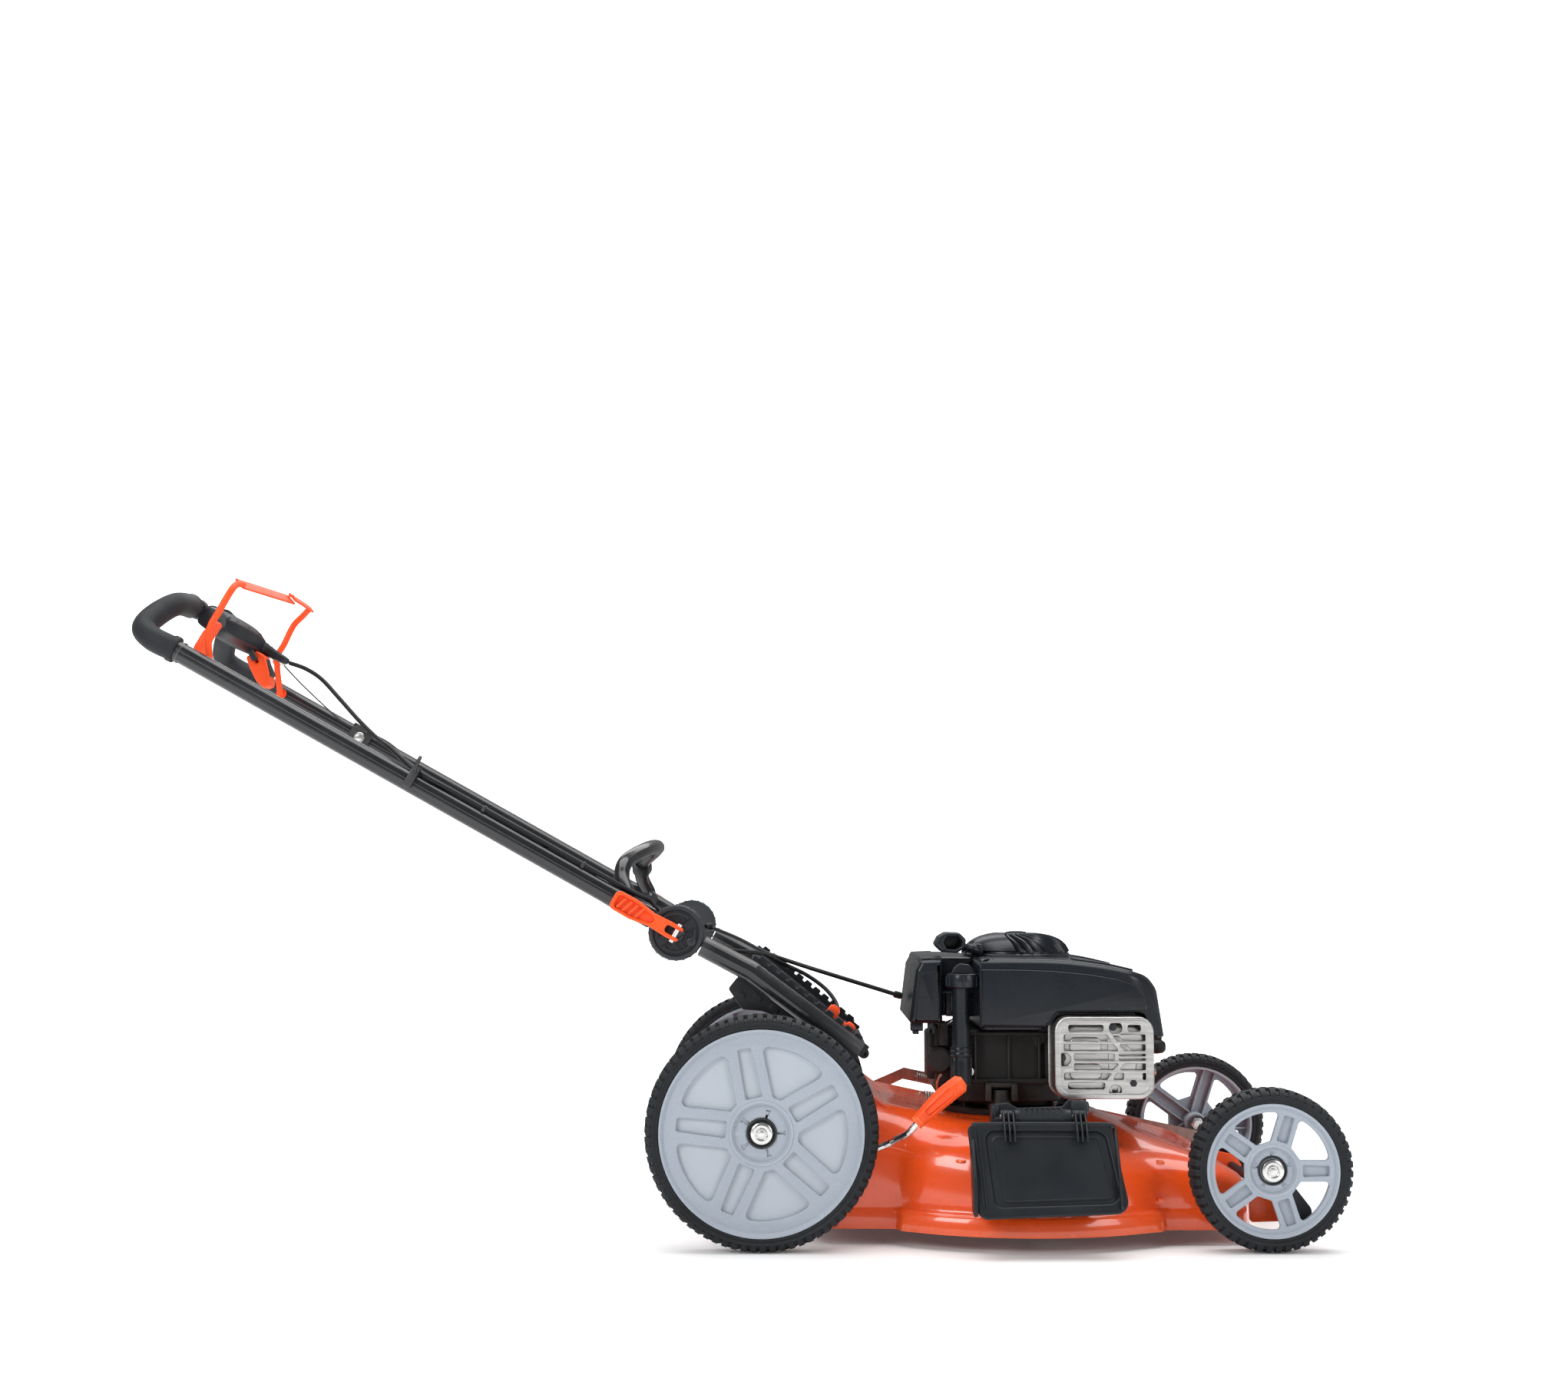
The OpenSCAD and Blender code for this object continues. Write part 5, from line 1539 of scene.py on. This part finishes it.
def console_shell():
    """The control console on the top bar."""
    path = smooth_path(
        [(-764, -86, 829), (-761, -60, 827), (-758, 0, 824), (-754, 62, 820), (-750, 96, 814)], 6
    )
    section = fillet(
        [(-25, -15), (18, -20), (25, -4), (20, 13), (4, 20), (-20, 17), (-27, 2)], [7, 8, 9, 7, 8, 7, 8], 5
    )
    grow = lambda t: 0.60 + 0.42 * math.sin(math.pi * min(1.0, 0.10 + 0.86 * t)) ** 0.55
    body = sweep("c", path, section, up=(0.5, 0, 0.86), scale=grow)
    lid = sweep(
        "c", [p + Vector((5, 0, 8.5)) for p in path[4:-4]],
        fillet([(-11, -4), (11, -4), (8, 4), (-8, 4)], 2.5, 4), up=(0.5, 0, 0.86)
    )
    ribs = [
        sweep(
            "r", [p + Vector((16, 0, -1)) for p in path[2 + 5 * k:4 + 5 * k]],
            [(-1, -12), (1, -12), (1, 9), (-1, 9)], up=(0.5, 0, 0.86)
        ) for k in range(4)
    ]
    relief = [
        (r, 1.7 * q) for r,
        q in (
            (0, 0), (11, 0), (10, 6), (8.6, 8), (9, 9.4), (7.2, 14), (7.6, 15.4), (6, 20), (6.4, 21.4),
            (4.8, 27), (3, 28), (0, 28)
        )
    ]
    d = Vector((43, 8.5, -23.5)).normalized()
    cone = lathe(
        "k", relief, axes((-741, 80, 811), (0, 1, 0), tuple(d.cross(Vector((0, 1, 0)))), tuple(d)), 36
    )
    collars = []
    for y in (-50, 30):
        collars.append(
            lathe(
                "l", [(9.8, -9), (13.4, -9), (14.4, -7), (14.4, 7), (13.4, 9), (9.8, 9)],
                axes((-796, y, 850), (0, 0, 1), (1, 0, 0), (0, 1, 0)), 36
            )
        )
        collars.append(
            sweep(
                "a", [(-788, y, 845), (-772, y, 835)], fillet([(-8, -8), (8, -8), (8, 8), (-8, 8)], 3),
                up=(0, 1, 0)
            )
        )
    hinge = [
        sweep(
            "h", [(-747, y, 807), (-737, y, 787)], fillet([(-4, -4), (4, -4), (4, 4), (-4, 4)], 1.6),
            up=(0, 1, 0)
        ) for y in (40.5, 83.5)
    ]
    put(
        join("console_shell", [body, lid, cone] + ribs + collars + hinge), "handle", "console_black",
        "console"
    )


console_shell()


def paddle(name, body, node, at, w, l, lean, insert, side=None):
    """A finger lever, with a black insert if asked."""
    x, y, z = at
    place = facing_right(x, y + w / 2, z) @ Matrix.Rotation(RAD(-lean), 4, "Z")
    side = side or fillet(
        [
            (-5, 3), (0, 5.4), (5, 3), (4.4, -l * 0.45), (7.4, -l + 2), (4, -l - 5.4), (-3.4, -l - 5.4),
            (-5.6, -l * 0.8), (-3.2, -l * 0.45)
        ], [3, 4, 3, 18, 5, 3, 3, 10, 18], 5
    )
    body_ob = plate("p", [side, circle2(0, 0, 2.7, 20)], w, 2.2, place, rounds=4)
    rib = [
        placed(
            block("r", -6.6, -3.6, k, k + 2.2, -l * 0.82, -l * 0.3, 0.8),
            Matrix.Translation((x, y - w / 2 + 6, z)) @ Matrix.Rotation(RAD(lean), 4, "Y")
        ) for k in (0, 7, 14, 20)
    ]
    put(join(name, [body_ob] + rib), body, "bail_orange", node)
    if insert:
        pad = placed(
            block("i", 5, 12.6, -w / 2 + 5, w / 2 - 5, -l * 0.62, l * 0.02, 1.8),
            Matrix.Translation((x, y, z)) @ Matrix.Rotation(RAD(lean), 4, "Y")
        )
        pad.name = name + "_insert"
        put(pad, body, "insert_black")


paddle("drive_paddle", "drive_lever", "drive_lever", (-752, -118, 820), 34, 44, 30, False)
TRIGGER = fillet([(-12, 12), (6, 14), (13, 2), (10, -22), (4, -40), (-6, -40), (-12, -26), (-13, -6)], 4, 5)
paddle("speed_trigger", "speed_lever", "speed_lever", (-736, 62, 786), 34, 44, -24, True, TRIGGER)


def bail_bar():
    """The bail, with its pins and washers."""
    foot = on_tube(BAIL_T, 0)
    near = tube(
        "n",
        [
            (foot.x, -192, foot.z - 3), (-740, -192, 800), (-726, -191, 831), (-713, -187, 857),
            (-709, -172, 868), (-706, -152, 871)
        ], 4.6, 8, 16
    )
    far = tube(
        "f",
        [
            (foot.x, 192, foot.z - 3), (-742, 192, 802), (-731, 192, 828), (-718, 192, 855),
            (-703, 187, 869), (-690, 173, 878)
        ], 4.6, 8, 16
    )
    pins = [
        sweep("p", [(foot.x, s * 189, foot.z), (foot.x, s * 211, foot.z)], ring(3, 16), up=(0, 0, 1))
        for s in (-1, 1)
    ]
    washers = [
        lathe("w", [(3, 0), (7.6, 0), (7.6, 1.6), (3, 1.6)], facing_right(foot.x, s * 199.3, foot.z), 28)
        for s in (-1, 1)
    ]
    flat = [
        grid_strip((-709, -158, 871), (-691, 58, 877), 18, 3.2),
        grid_strip((-687, 50, 880), (-690, 179, 879), 15, 3.2)
    ]
    flat += [hex_head("b", axes((-689, y, 881), (1, 0, 0), (0, 1, 0), (0, 0, 1)), 4, 2.6) for y in (53,)]
    put(join("bail_bar", [near, far] + pins + washers + flat), "bail", "bail_orange", "bail")


bail_bar()


def brace():
    """The curved cross brace and its end pads."""
    right = [
        (-176, -201, 441), (-177, -206, 452), (-186, -192, 474), (-182, -168, 496), (-160, -90, 513),
        (-152, 0, 517)
    ]
    left = [(x, -y, z) for x, y, z in reversed(right[:-1])]
    bar = tube("b", right + left, 10.4, 8, 22)
    pads = [
        lathe(
            "p", [(0, 0), (13, 0), (13.6, 1.4), (12.6, 5), (0, 6)],
            axes((-176, s * 201, 441), (1, 0, 0), (0, 0, 1), (0, -s, 0)), 32
        ) for s in (-1, 1)
    ]
    put(join("hoop_brace_bar", [bar] + pads), "handle", "tube_black", "hoop_brace")
    guide = lathe("g", [(9.8, -9), (14.6, -9), (15.4, -7), (15.4, 7), (14.6, 9), (9.8, 9)],
                  axes((-185, 176, 490), (0.9, 0.3, 0.3), (0.31, -0.6, -0.73), (0, 0.77, -0.63)), 36)
    put(guide, "handle", "cable_black")


brace()


def knuckle_disc(side, y_in, depth, name, body, node, ribbed):
    """One disc of a handle pivot."""
    place = axes((PIVOT.x, side * y_in, PIVOT.z), (1, 0, 0), (0, 0, -1), (0, side, 0))
    parts = [
        lathe(
            "d",
            [
                (4.4, 0), (35.6, 0), (36.2, 1), (36.2, depth - 3.4), (34.8, depth - 0.8), (32, depth),
                (30, depth - 0.4), (28.8, depth - 3), (12.4, depth - 3), (11.4, depth - 0.6),
                (4.4, depth - 0.6)
            ], place, 96
        )
    ]
    n = 24
    for k in range(n):
        a = RAD(360 * k / n)
        ridge = block("r", 34.8, 37.0, -1.0, 1.0, 1.5, depth - 5, 0.5)
        parts.append(placed(ridge, place @ Matrix.Rotation(a, 4, "Z")))
    if ribbed:
        for half in (0, 180):
            loop = [(26.5 * math.cos(RAD(a)), 26.5 * math.sin(RAD(a))) for a in range(14, 167, 8)]
            inner = [(22.6 * math.cos(RAD(a)), 22.6 * math.sin(RAD(a))) for a in range(22, 159, 8)]
            turn = place @ Matrix.Rotation(RAD(half - 29.2), 4, "Z") @ Matrix.Translation((0, 0, depth - 3.2))
            parts.append(plate("s", [fillet(loop, 0.4, 2), [Vector(v) for v in inner]], 3.0, 0.9, turn))
            for k in range(5):
                x = -16 + 8 * k
                parts.append(
                    plate(
                        "s",
                        [
                            fillet(
                                [
                                    (x - 1.1, 8.5), (x + 1.1, 8.5), (x + 1.1, math.sqrt(23.4 ** 2 - x * x)),
                                    (x - 1.1, math.sqrt(23.4 ** 2 - x * x))
                                ], 0.6, 2
                            )
                        ], 2.4, 0.7, turn
                    )
                )
    put(join(name, parts), body, "disc_black", *([node] if node else []))


knuckle_disc(-1, 213.5, 19.4, "pivot_disc_upper_right", "handle", "upper_discs", True)
knuckle_disc(1, 213.5, 19.4, "pivot_disc_upper_left", "handle", "upper_discs", True)
knuckle_disc(-1, 197, 15.6, "pivot_disc_lower_right", "chassis", "lower_discs", False)
knuckle_disc(1, 197, 15.6, "pivot_disc_lower_left", "chassis", "lower_discs", False)


def cam_levers():
    """The clamp levers and the bolts of the two handle pivots."""
    at = facing_right(PIVOT.x, -237, PIVOT.z) @ Matrix.Rotation(-SLOPE, 4, "Z")
    outline = fillet(
        [
            (-93, -13), (-62, -13.5), (-36, -9.2), (-8, -10.6), (7, -9.4), (7, -5.2), (-15, -5.2),
            (-15, 5.2), (7, 5.2), (7, 9.4), (-8, 10.6), (-36, 9.2), (-62, 13.5), (-93, 13)
        ], [7, 16, 14, 6, 2.5, 0.6, 4, 4, 0.6, 2.5, 6, 14, 16, 7], 6
    )
    pocket = fillet(
        [(-88, -9), (-62, -9.6), (-36, -5.4), (-30, 0), (-36, 5.4), (-62, 9.6), (-88, 9)],
        [5, 8, 6, 3, 6, 8, 5], 4
    )
    body = plate("b", [outline, pocket], 13, 1.4, at, rounds=4)
    back = plate(
        "k", [fillet([(-90, -11), (-62, -11), (-26, -7), (-26, 7), (-62, 11), (-90, 11)], 4)], 4, 1, at
        @ Matrix.Translation((0, 0, 2))
    )
    ribs = [
        plate(
            "r", [fillet([(x, -8.4), (x + 3.4, -8.4), (x + 9.4, 8.4), (x + 6, 8.4)], 0.8, 2)], 7.6, 0.9, at
            @ Matrix.Translation((0, 0, 3))
        ) for x in (-85, -76, -67, -58)
    ]
    put(join("cam_lever_arm_right", [body, back] + ribs), "cam_right", "lever_orange", "cam_lever_right")
    piece = mirrored(bpy.data.objects["cam_lever_arm_right"], "cam_lever_arm_left")
    put(piece, "cam_left", "lever_orange", "cam_lever_left")
    steel = []
    for s in (-1, 1):
        pin = [
            sweep("p", [(-112, s * 194, 403), (-112, s * 242, 403)], ring(4.1, 20), up=(0, 0, 1)),
            lathe(
                "p", [(0, 0), (7.6, 0), (7.4, 2), (5.4, 3.6), (0, 4.2)],
                axes((-112, s * 192, 403), (1, 0, 0), (0, 0, 1), (0, s * -1, 0)), 32
            ),
            placed(
                lathe("p", [(0, -13), (3.9, -13), (3.9, 13), (0, 13)], Matrix.Identity(4), 24),
                Matrix.Translation((-112, s * 243, 403)) @ Matrix.Rotation(SLOPE, 4, "Y")
            )
        ]
        steel += pin
    put(join("pivot_bolt_steel", steel), "chassis", "bright_steel", "pivot_bolts")


cam_levers()


def lower_frame():
    """The side plates that carry the handle, with teeth and bolt heads."""
    plates = []
    poly = fillet(
        [
            (-45, 329), (-34, 343), (-16, 352), (4, 338), (126, 246), (120, 232), (104, 222), (100, 142.4),
            (66, 114.2), (66, 226), (50, 262), (19, 293), (-1, 300), (-26, 302)
        ], 4, 3
    )
    for s in (-1, 1):
        plates.append(plate("p", [poly], 4, 1.0, facing_right(0, -195.2 if s < 0 else 199.2, 0)))
        for k in range(7):
            x = -30 + 22 * k
            z = 331 - 0.72 * max(0, x + 20) if x > -20 else 326
            if x < 96:
                plates.append(
                    plate(
                        "n",
                        [fillet([(x - 5, z - 3), (x + 5, z - 10), (x + 8, z - 4), (x - 2, z + 3)], 1.2, 2)],
                        3, 0.9, facing_right(0, -198.6 if s < 0 else 201.8, 0)
                    )
                )
        plates.append(
            hex_head(
                "h", facing_right(70, s * 200, 270) if s < 0
                else axes((70, 200, 270), (1, 0, 0), (0, 0, -1), (0, 1, 0)), 6, 5, 8.5
            )
        )
    put(join("bracket_plates", plates), "chassis", "bracket_black", "handle_brackets")


lower_frame()


def door():
    """The ribbed rear door."""
    tip, hinge = Vector((-17, 0, 364)), Vector((134, 0, 243))
    u = (tip - hinge).normalized()
    up = Vector((u.z, 0, -u.x))
    span = (tip - hinge).length
    place = axes(tuple(hinge), tuple(u), (0, 1, 0), tuple(up))
    panel = plate(
        "p", [fillet([(6, -174), (span - 2, -174), (span, 174), (6, 174)], 8)], 4, 1.4, place
        @ Matrix.Translation((0, 0, -2.6))
    )
    ribs = [
        placed(block("r", 14, span - 8, y - 1.6, y + 1.6, 0.6, 5.6, 0.7), place)
        for y in range(-150, 151, 25)
    ]
    lips = [
        placed(block("r", span - 10, span - 4, -170, 170, 0.4, 7.5, 1.2), place),
        placed(block("r", 20, 26, -170, 170, 0.4, 6, 1.0), place)
    ]
    rails = []
    for s in (-1, 1):
        teeth = []
        n = 11
        for k in range(n):
            x = 14 + 16 * k
            teeth += [(x, 11.5), (x + 0.9, 16.5), (x + 11, 16.5), (x + 11.9, 11.5)]
        outline = [(0, -6.5), (span, -6.5), (span, 11.5)] + teeth[::-1] + [(0, 11.5)]
        flat = place @ Matrix.Translation(
            (0, s * 187, 0)
        ) if s > 0 else place @ Matrix.Translation((0, -175, 0))
        rails.append(
            plate("t", [fillet(outline, 0.9, 2)], 12, 1.0, flat @ Matrix.Rotation(math.pi / 2, 4, "X"))
        )
    tube_ob = placed(
        lathe("h", [(3, -174), (7, -174), (7, 174), (3, 174)], Matrix.Identity(4), 28), place
        @ Matrix.Rotation(math.pi / 2, 4, "X")
    )
    put(join("rear_door_moulding", [panel, tube_ob] + ribs + lips + rails), "door", "flap_black", "rear_door")


door()


def latch():
    """The catch on the rear door."""
    m = Matrix.Translation((100, -60, 273)) @ Matrix.Rotation(RAD(38.7), 4, "Y")
    parts = [
        placed(block("l", -22, -6, -14, 14, 2, 18, 3.4), m),
        placed(block("l", -7, 14, -11, 11, 2, 9.6, 2.2), m),
        placed(block("l", 11, 24, -14, 14, 2, 14.6, 3.4), m)
    ]
    parts += [placed(block("l", -19, -9, -10 + 5 * k, -8 + 5 * k, 17, 19.6, 0.6), m) for k in range(5)]
    put(join("door_latch_catch", parts), "door", "bail_orange", "door_latch")


latch()


def height_control():
    """The grip of the height lever."""
    a, b = Vector((199, -255, 162)), Vector((259, -257, 215))
    path = [a.lerp(b, t) + Vector((0, 0, 3.0 * math.sin(math.pi * t))) for t in [i / 14 for i in range(15)]]
    grow = lambda t: 0.66 + 0.40 * math.sin(
        math.pi * (0.05 + 0.62 * t)
    ) if t < 0.94 else 0.86 * (1 - (t - 0.94) * 6)
    grip = sweep("g", path, ring(11.8, 28, 0.86), up=(0, 1, 0), scale=grow)
    d = (b - a).normalized()
    place = axes(tuple(a), tuple(d), tuple(Vector((0, -1, 0)).cross(d)), (0, -1, 0))
    panel = plate(
        "p",
        [
            fillet([(14, -6.2), (62, -7.4), (66, 0), (62, 7.4), (14, 6.2)], 4),
            fillet([(17, -4.4), (59, -5.4), (62, 0), (59, 5.4), (17, 4.4)], 3)
        ], 2, 0.7, place @ Matrix.Translation((0, 1.5, 9.2))
    )
    rings = [
        lathe(
            "r", [(5, 0), (8.6, 0), (8.9, 1), (8.6, 2.4), (5, 2.4)],
            axes(tuple(a + d * q), (0, 1, 0), tuple(d.cross(Vector((0, 1, 0)))), tuple(d)), 32
        ) for q in (-1.5, 3)
    ]
    put(join("height_lever_grip", [grip, panel] + rings), "rear_crank", "lever_orange", "lever_grip")


height_control()


def link_and_spring():
    """The coil spring on the height link, with its end hooks."""
    spring = [
        Vector((212 + 24 * i / 112, -205, 191 - 4 * i / 112))
        + Vector((0, 6 * math.cos(math.pi * i / 8), 6 * math.sin(math.pi * i / 8))) for i in range(113)
    ]
    hooks = [
        tube("h", [(203, -205, 190), (207, -205, 196), (212, -199, 192)], 1.2, 4, 8),
        tube("h", [(236, -199, 187), (242, -204, 186), (248, -206, 182)], 1.2, 4, 8)
    ]
    put(
        join("link_tension_spring", [sweep("c", spring, ring(1.3, 8), up=None)] + hooks), "chassis",
        "strip_zinc"
    )


link_and_spring()


def cables():
    """The two cables, their lower ends and the bail wire."""
    t = on_tube
    drive = [
        (-698, 88.5, 787.5), (-672, 78, 778), (-642, 50, 760), (-606, 6, 728), (-566, -60, 694),
        (-526, -130, 664), (-494, -190, 645)
    ]
    drive += [tuple(t(q, -219, 17.2)) for q in (400, 340, 240, 140)] + [tuple(t(88, -218, 17.4))]
    drive += [(-152, -207, 446), (-141, -185, 433), (-120, -180, 412), (-76, -183, 385.5)]
    brake = [(-600, 190, 690), (-570, 160, 676), (-530, 30, 657), (-498, -120, 640), (-474, -192, 628)]
    brake += [tuple(t(q, -211, 17.2)) for q in (380, 320, 220, 140)] + [
        (-210, -197, 472), (-190, -176, 459), (-166, -100, 441), (-143, -10, 424), (-124, 80, 412),
        (-87, 144.5, 402.4)
    ]
    put(
        join("handle_cables", [tube("c", drive, 3.2, 10, 14), tube("c", brake, 3.2, 10, 14)]), "handle",
        "cable_black", "upper_cables"
    )
    lower = [
        (-82, 150, 400.4), (-40, 108, 385), (2, 60, 366), (50, 22, 351), (100, 6, 336), (150, 0, 321),
        (194, 0, 307.5)
    ]
    end = lathe(
        "e", [(2.6, 0), (5, 0), (5, 9), (3.4, 12), (2.6, 12)],
        axes((183, 0, 311), (0, 1, 0), (0.29, 0, 0.957), (0.957, 0, -0.29)), 24
    )
    boot = lathe(
        "e", [(2, -10), (4.4, -9), (5.6, -5), (6, 0), (5.6, 5), (4.4, 9), (2, 10)],
        axes((-83, 147.6, 401), (0.9, -0.4, 0), (0, 0, 1), (-0.4, -0.9, 0)), 28
    )
    put(
        join("engine_cable", [tube("c", lower, 3.1, 10, 14), end, boot]), "chassis", "cable_black",
        "brake_cable_lower"
    )
    low = [
        (-72, -183, 383), (-40, -150, 377), (0, -60, 369), (27, 0, 353), (58, 10, 338), (84, 4, 320),
        (99, -10, 303), (104, -25, 290)
    ]
    put(tube("drive_cable", low, 2.9, 10, 14), "chassis", "cable_black", "drive_cable_lower")
    put(
        tube(
            "bail_pull_wire",
            [(-735, 186, 799), (-706, 188, 768), (-668, 189, 732), (-640, 190, 708), (-604, 190, 692)],
            1.15, 8, 10
        ), "handle", "bracket_black", "bail_wire"
    )
    eye = [
        lathe(
            "e", [(2.2, -3), (6.2, -3), (6.8, -2), (6.8, 2), (6.2, 3), (2.2, 3)],
            facing_right(-741, 190, 800), 32
        )
    ]
    put(join("bail_wire_eye", eye), "bail", "bail_orange")
    ferrule = lathe(
        "bail_wire_ferrule", [(0, 0), (2.6, 0), (2.6, 9), (1.6, 11), (0, 11)],
        axes((-737, 186, 801), (0, 1, 0), (0.73, 0, 0.68), (0.68, 0, -0.73)), 20
    )
    put(ferrule, "handle", "bright_steel")


cables()


def clips():
    """The cable clips on the handle."""
    turn = Matrix.Rotation(SLOPE, 4, "Y")
    at = lambda q, y: Matrix.Translation(on_tube(q, y)) @ turn
    parts = [
        placed(block("p", -17, 17, -18.4, -14, -15, 17, 1.6), at(578, 215)),
        placed(block("p", -17, -12, -18.4, -4, 12, 17, 1.2), at(578, 215)),
        placed(block("p", -5.5, 5.5, -19.4, -14, -7, 19, 1.6), at(402, -215)),
        placed(block("p", -5, 5, 14.2, 18.4, -8, 18, 1.2), at(208, -215))
    ]
    hook = [
        Matrix.Translation(on_tube(402, -215)) @ turn
        @ Vector((0.6 * k - 5, -16 + 9.5 * math.cos(RAD(24 * k)), 26 + 9.5 * math.sin(RAD(24 * k))))
        for k in range(15)
    ]
    parts.append(sweep("h", hook, ring(2.5, 12), up=None))
    for q in (300, 150):
        parts.append(placed(block("s", -2.4, 2.4, -9, 9, 12.6, 21.6, 1.6), at(q, -215)))
    put(join("cable_clips", parts), "handle", "bracket_black", "cable_guides")
    bolt = placed(
        hex_head("b", Matrix.Rotation(math.pi / 2, 4, "X"), 6, 4, 8), at(578, 215)
        @ Matrix.Translation((0, -18.4, 0))
    )
    bolt.name = "clamp_bolt"
    put(bolt, "handle", "bright_steel")
    screw = [
        lathe("s", [(0, 0), (5.6, 0), (5.4, 1.4), (3.6, 2.4), (0, 2.6)], facing_right(-92, -231, 391.5), 28)
    ]
    put(join("disc_screw", screw), "handle", "bracket_black")


clips()


def axle_plates():
    """The bracket plates at the axles."""
    parts = []
    for s in (-1, 1):
        rear = fillet([(30, 78), (60, 78), (112, 108), (112, 142), (70, 116), (30, 108)], 5, 4)
        front = fillet([(634, 28), (700, 30), (710, 46), (700, 62), (634, 76)], 5, 4)
        parts.append(plate("r", [rear], 4.8, 1.0, facing_right(0, -205.2 if s < 0 else 210, 0)))
        parts.append(plate("f", [front], 5, 1.0, facing_right(0, -196 if s < 0 else 201, 0)))
    parts.append(
        plate(
            "n", [fillet([(102, 128), (140, 134), (150, 146), (132, 152), (112, 146)], 4, 4)], 2.6, 0.7,
            facing_right(0, -213.4, 0)
        )
    )
    put(join("axle_bracket_plates", parts), "chassis", "bracket_orange", "axle_brackets")


axle_plates()

# ---------- studio ----------


def studio():
    """A white sweep behind and below, with a painted shadow on its floor, and large soft lamps."""
    n = 24
    line = [(-14, 0.0), (1.6, 0.0)] + [
        (1.6 + 2.4 * math.sin(RAD(90 * k / n)), 2.4 - 2.4 * math.cos(RAD(90 * k / n)))
        for k in range(1, n + 1)
    ] + [(4.0, 6.5)]
    pieces = []
    for name, part in (("studio_floor", line[:2]), ("studio_backdrop", line[1:])):
        verts = []
        for y, z in part:
            verts += [Vector((-14000, y * 1000, z * 1000)), Vector((14000, y * 1000, z * 1000))]
        pieces.append(
            add(name, verts, [(2 * i, 2 * i + 1, 2 * i + 3, 2 * i + 2) for i in range(len(part) - 1)], 60)
        )
    pieces[1].visible_glossy = False
    white = bpy.data.materials.new("studio_white")
    white.use_nodes = True
    nodes, links = white.node_tree.nodes, white.node_tree.links
    surface = nodes["Principled BSDF"]
    surface.inputs["Base Color"].default_value = (0.93, 0.93, 0.93, 1)
    surface.inputs["Roughness"].default_value = 0.9
    surface.inputs["Specular IOR Level"].default_value = 0.1
    surface.inputs["Emission Color"].default_value = (1, 1, 1, 1)
    place = nodes.new("ShaderNodeNewGeometry")
    # the floor glows more with distance, so it fades to white
    reach = nodes.new("ShaderNodeVectorMath")
    reach.operation = "LENGTH"
    fade = nodes.new("ShaderNodeMapRange")
    fade.inputs["From Min"].default_value, fade.inputs["From Max"].default_value = 0.9, 3.2
    fade.inputs["To Min"].default_value, fade.inputs["To Max"].default_value = 0.05, 0.95
    links.new(place.outputs["Position"], reach.inputs[0])
    links.new(reach.outputs["Value"], fade.inputs["Value"])
    links.new(fade.outputs["Result"], surface.inputs["Emission Strength"])
    # and its colour carries a painted shadow: darker in a soft patch under the mower and beyond it, where the
    # camera sees below the deck
    under = nodes.new("ShaderNodeMapping")
    under.inputs["Location"].default_value = (-0.36, -0.25, 0.0)
    under.inputs["Scale"].default_value = (1.0, 0.7, 0.0)
    spread = nodes.new("ShaderNodeVectorMath")
    spread.operation = "LENGTH"
    painted_shadow = nodes.new("ShaderNodeMapRange")
    painted_shadow.interpolation_type = "SMOOTHSTEP"
    painted_shadow.inputs["From Min"].default_value, painted_shadow.inputs["From Max"].default_value = 0.26, 0.50
    painted_shadow.inputs["To Min"].default_value, painted_shadow.inputs["To Max"].default_value = 0.16, 0.93
    links.new(place.outputs["Position"], under.inputs["Vector"])
    links.new(under.outputs["Vector"], spread.inputs[0])
    links.new(spread.outputs["Value"], painted_shadow.inputs["Value"])
    # the painted shadow goes into the floor's base colour
    links.new(painted_shadow.outputs["Result"], surface.inputs["Base Color"])
    for piece in pieces:
        piece.data.materials.append(white)

    def lamp(name, at, to, w, h, power):
        light = bpy.data.lights.new(name, "AREA")
        light.shape = "RECTANGLE"
        light.size, light.size_y = w, h
        light.energy = power
        ob = show(name, light)
        ob.location = at
        ob.rotation_euler = (Vector(to) - Vector(at)).to_track_quat("-Z", "Y").to_euler()

    lamp("top", (0.1, 0.0, 3.0), (0.1, 0, 0), 3.6, 2.2, 96)
    lamp("key", (-2.0, -2.6, 2.0), (0.1, 0, 0.3), 1.3, 1.3, 52)
    lamp("fill", (2.6, -2.4, 1.5), (0.3, 0, 0.25), 1.2, 1.6, 26)
    lamp("back", (0.2, 3.0, 2.6), (0.1, 0, 0.4), 3.4, 1.0, 22)
    world = bpy.data.worlds.new("studio")
    world.use_nodes = True
    world.node_tree.nodes["Background"].inputs["Color"].default_value = (1.0, 1.0, 1.0, 1)
    world.node_tree.nodes["Background"].inputs["Strength"].default_value = 0.22
    bpy.context.scene.world = world
    bpy.context.scene.view_settings.view_transform = "Standard"


studio()

# ---------- carried-over CAD nodes ----------

for row in frame["record"]["subparts"]:
    node = frame["nodes"][row["node"]]
    for place in node.material_slots:
        place.material = MATERIALS[row["material_slot"]]
    if not node.material_slots:
        node.data.materials.append(MATERIALS[row["material_slot"]])
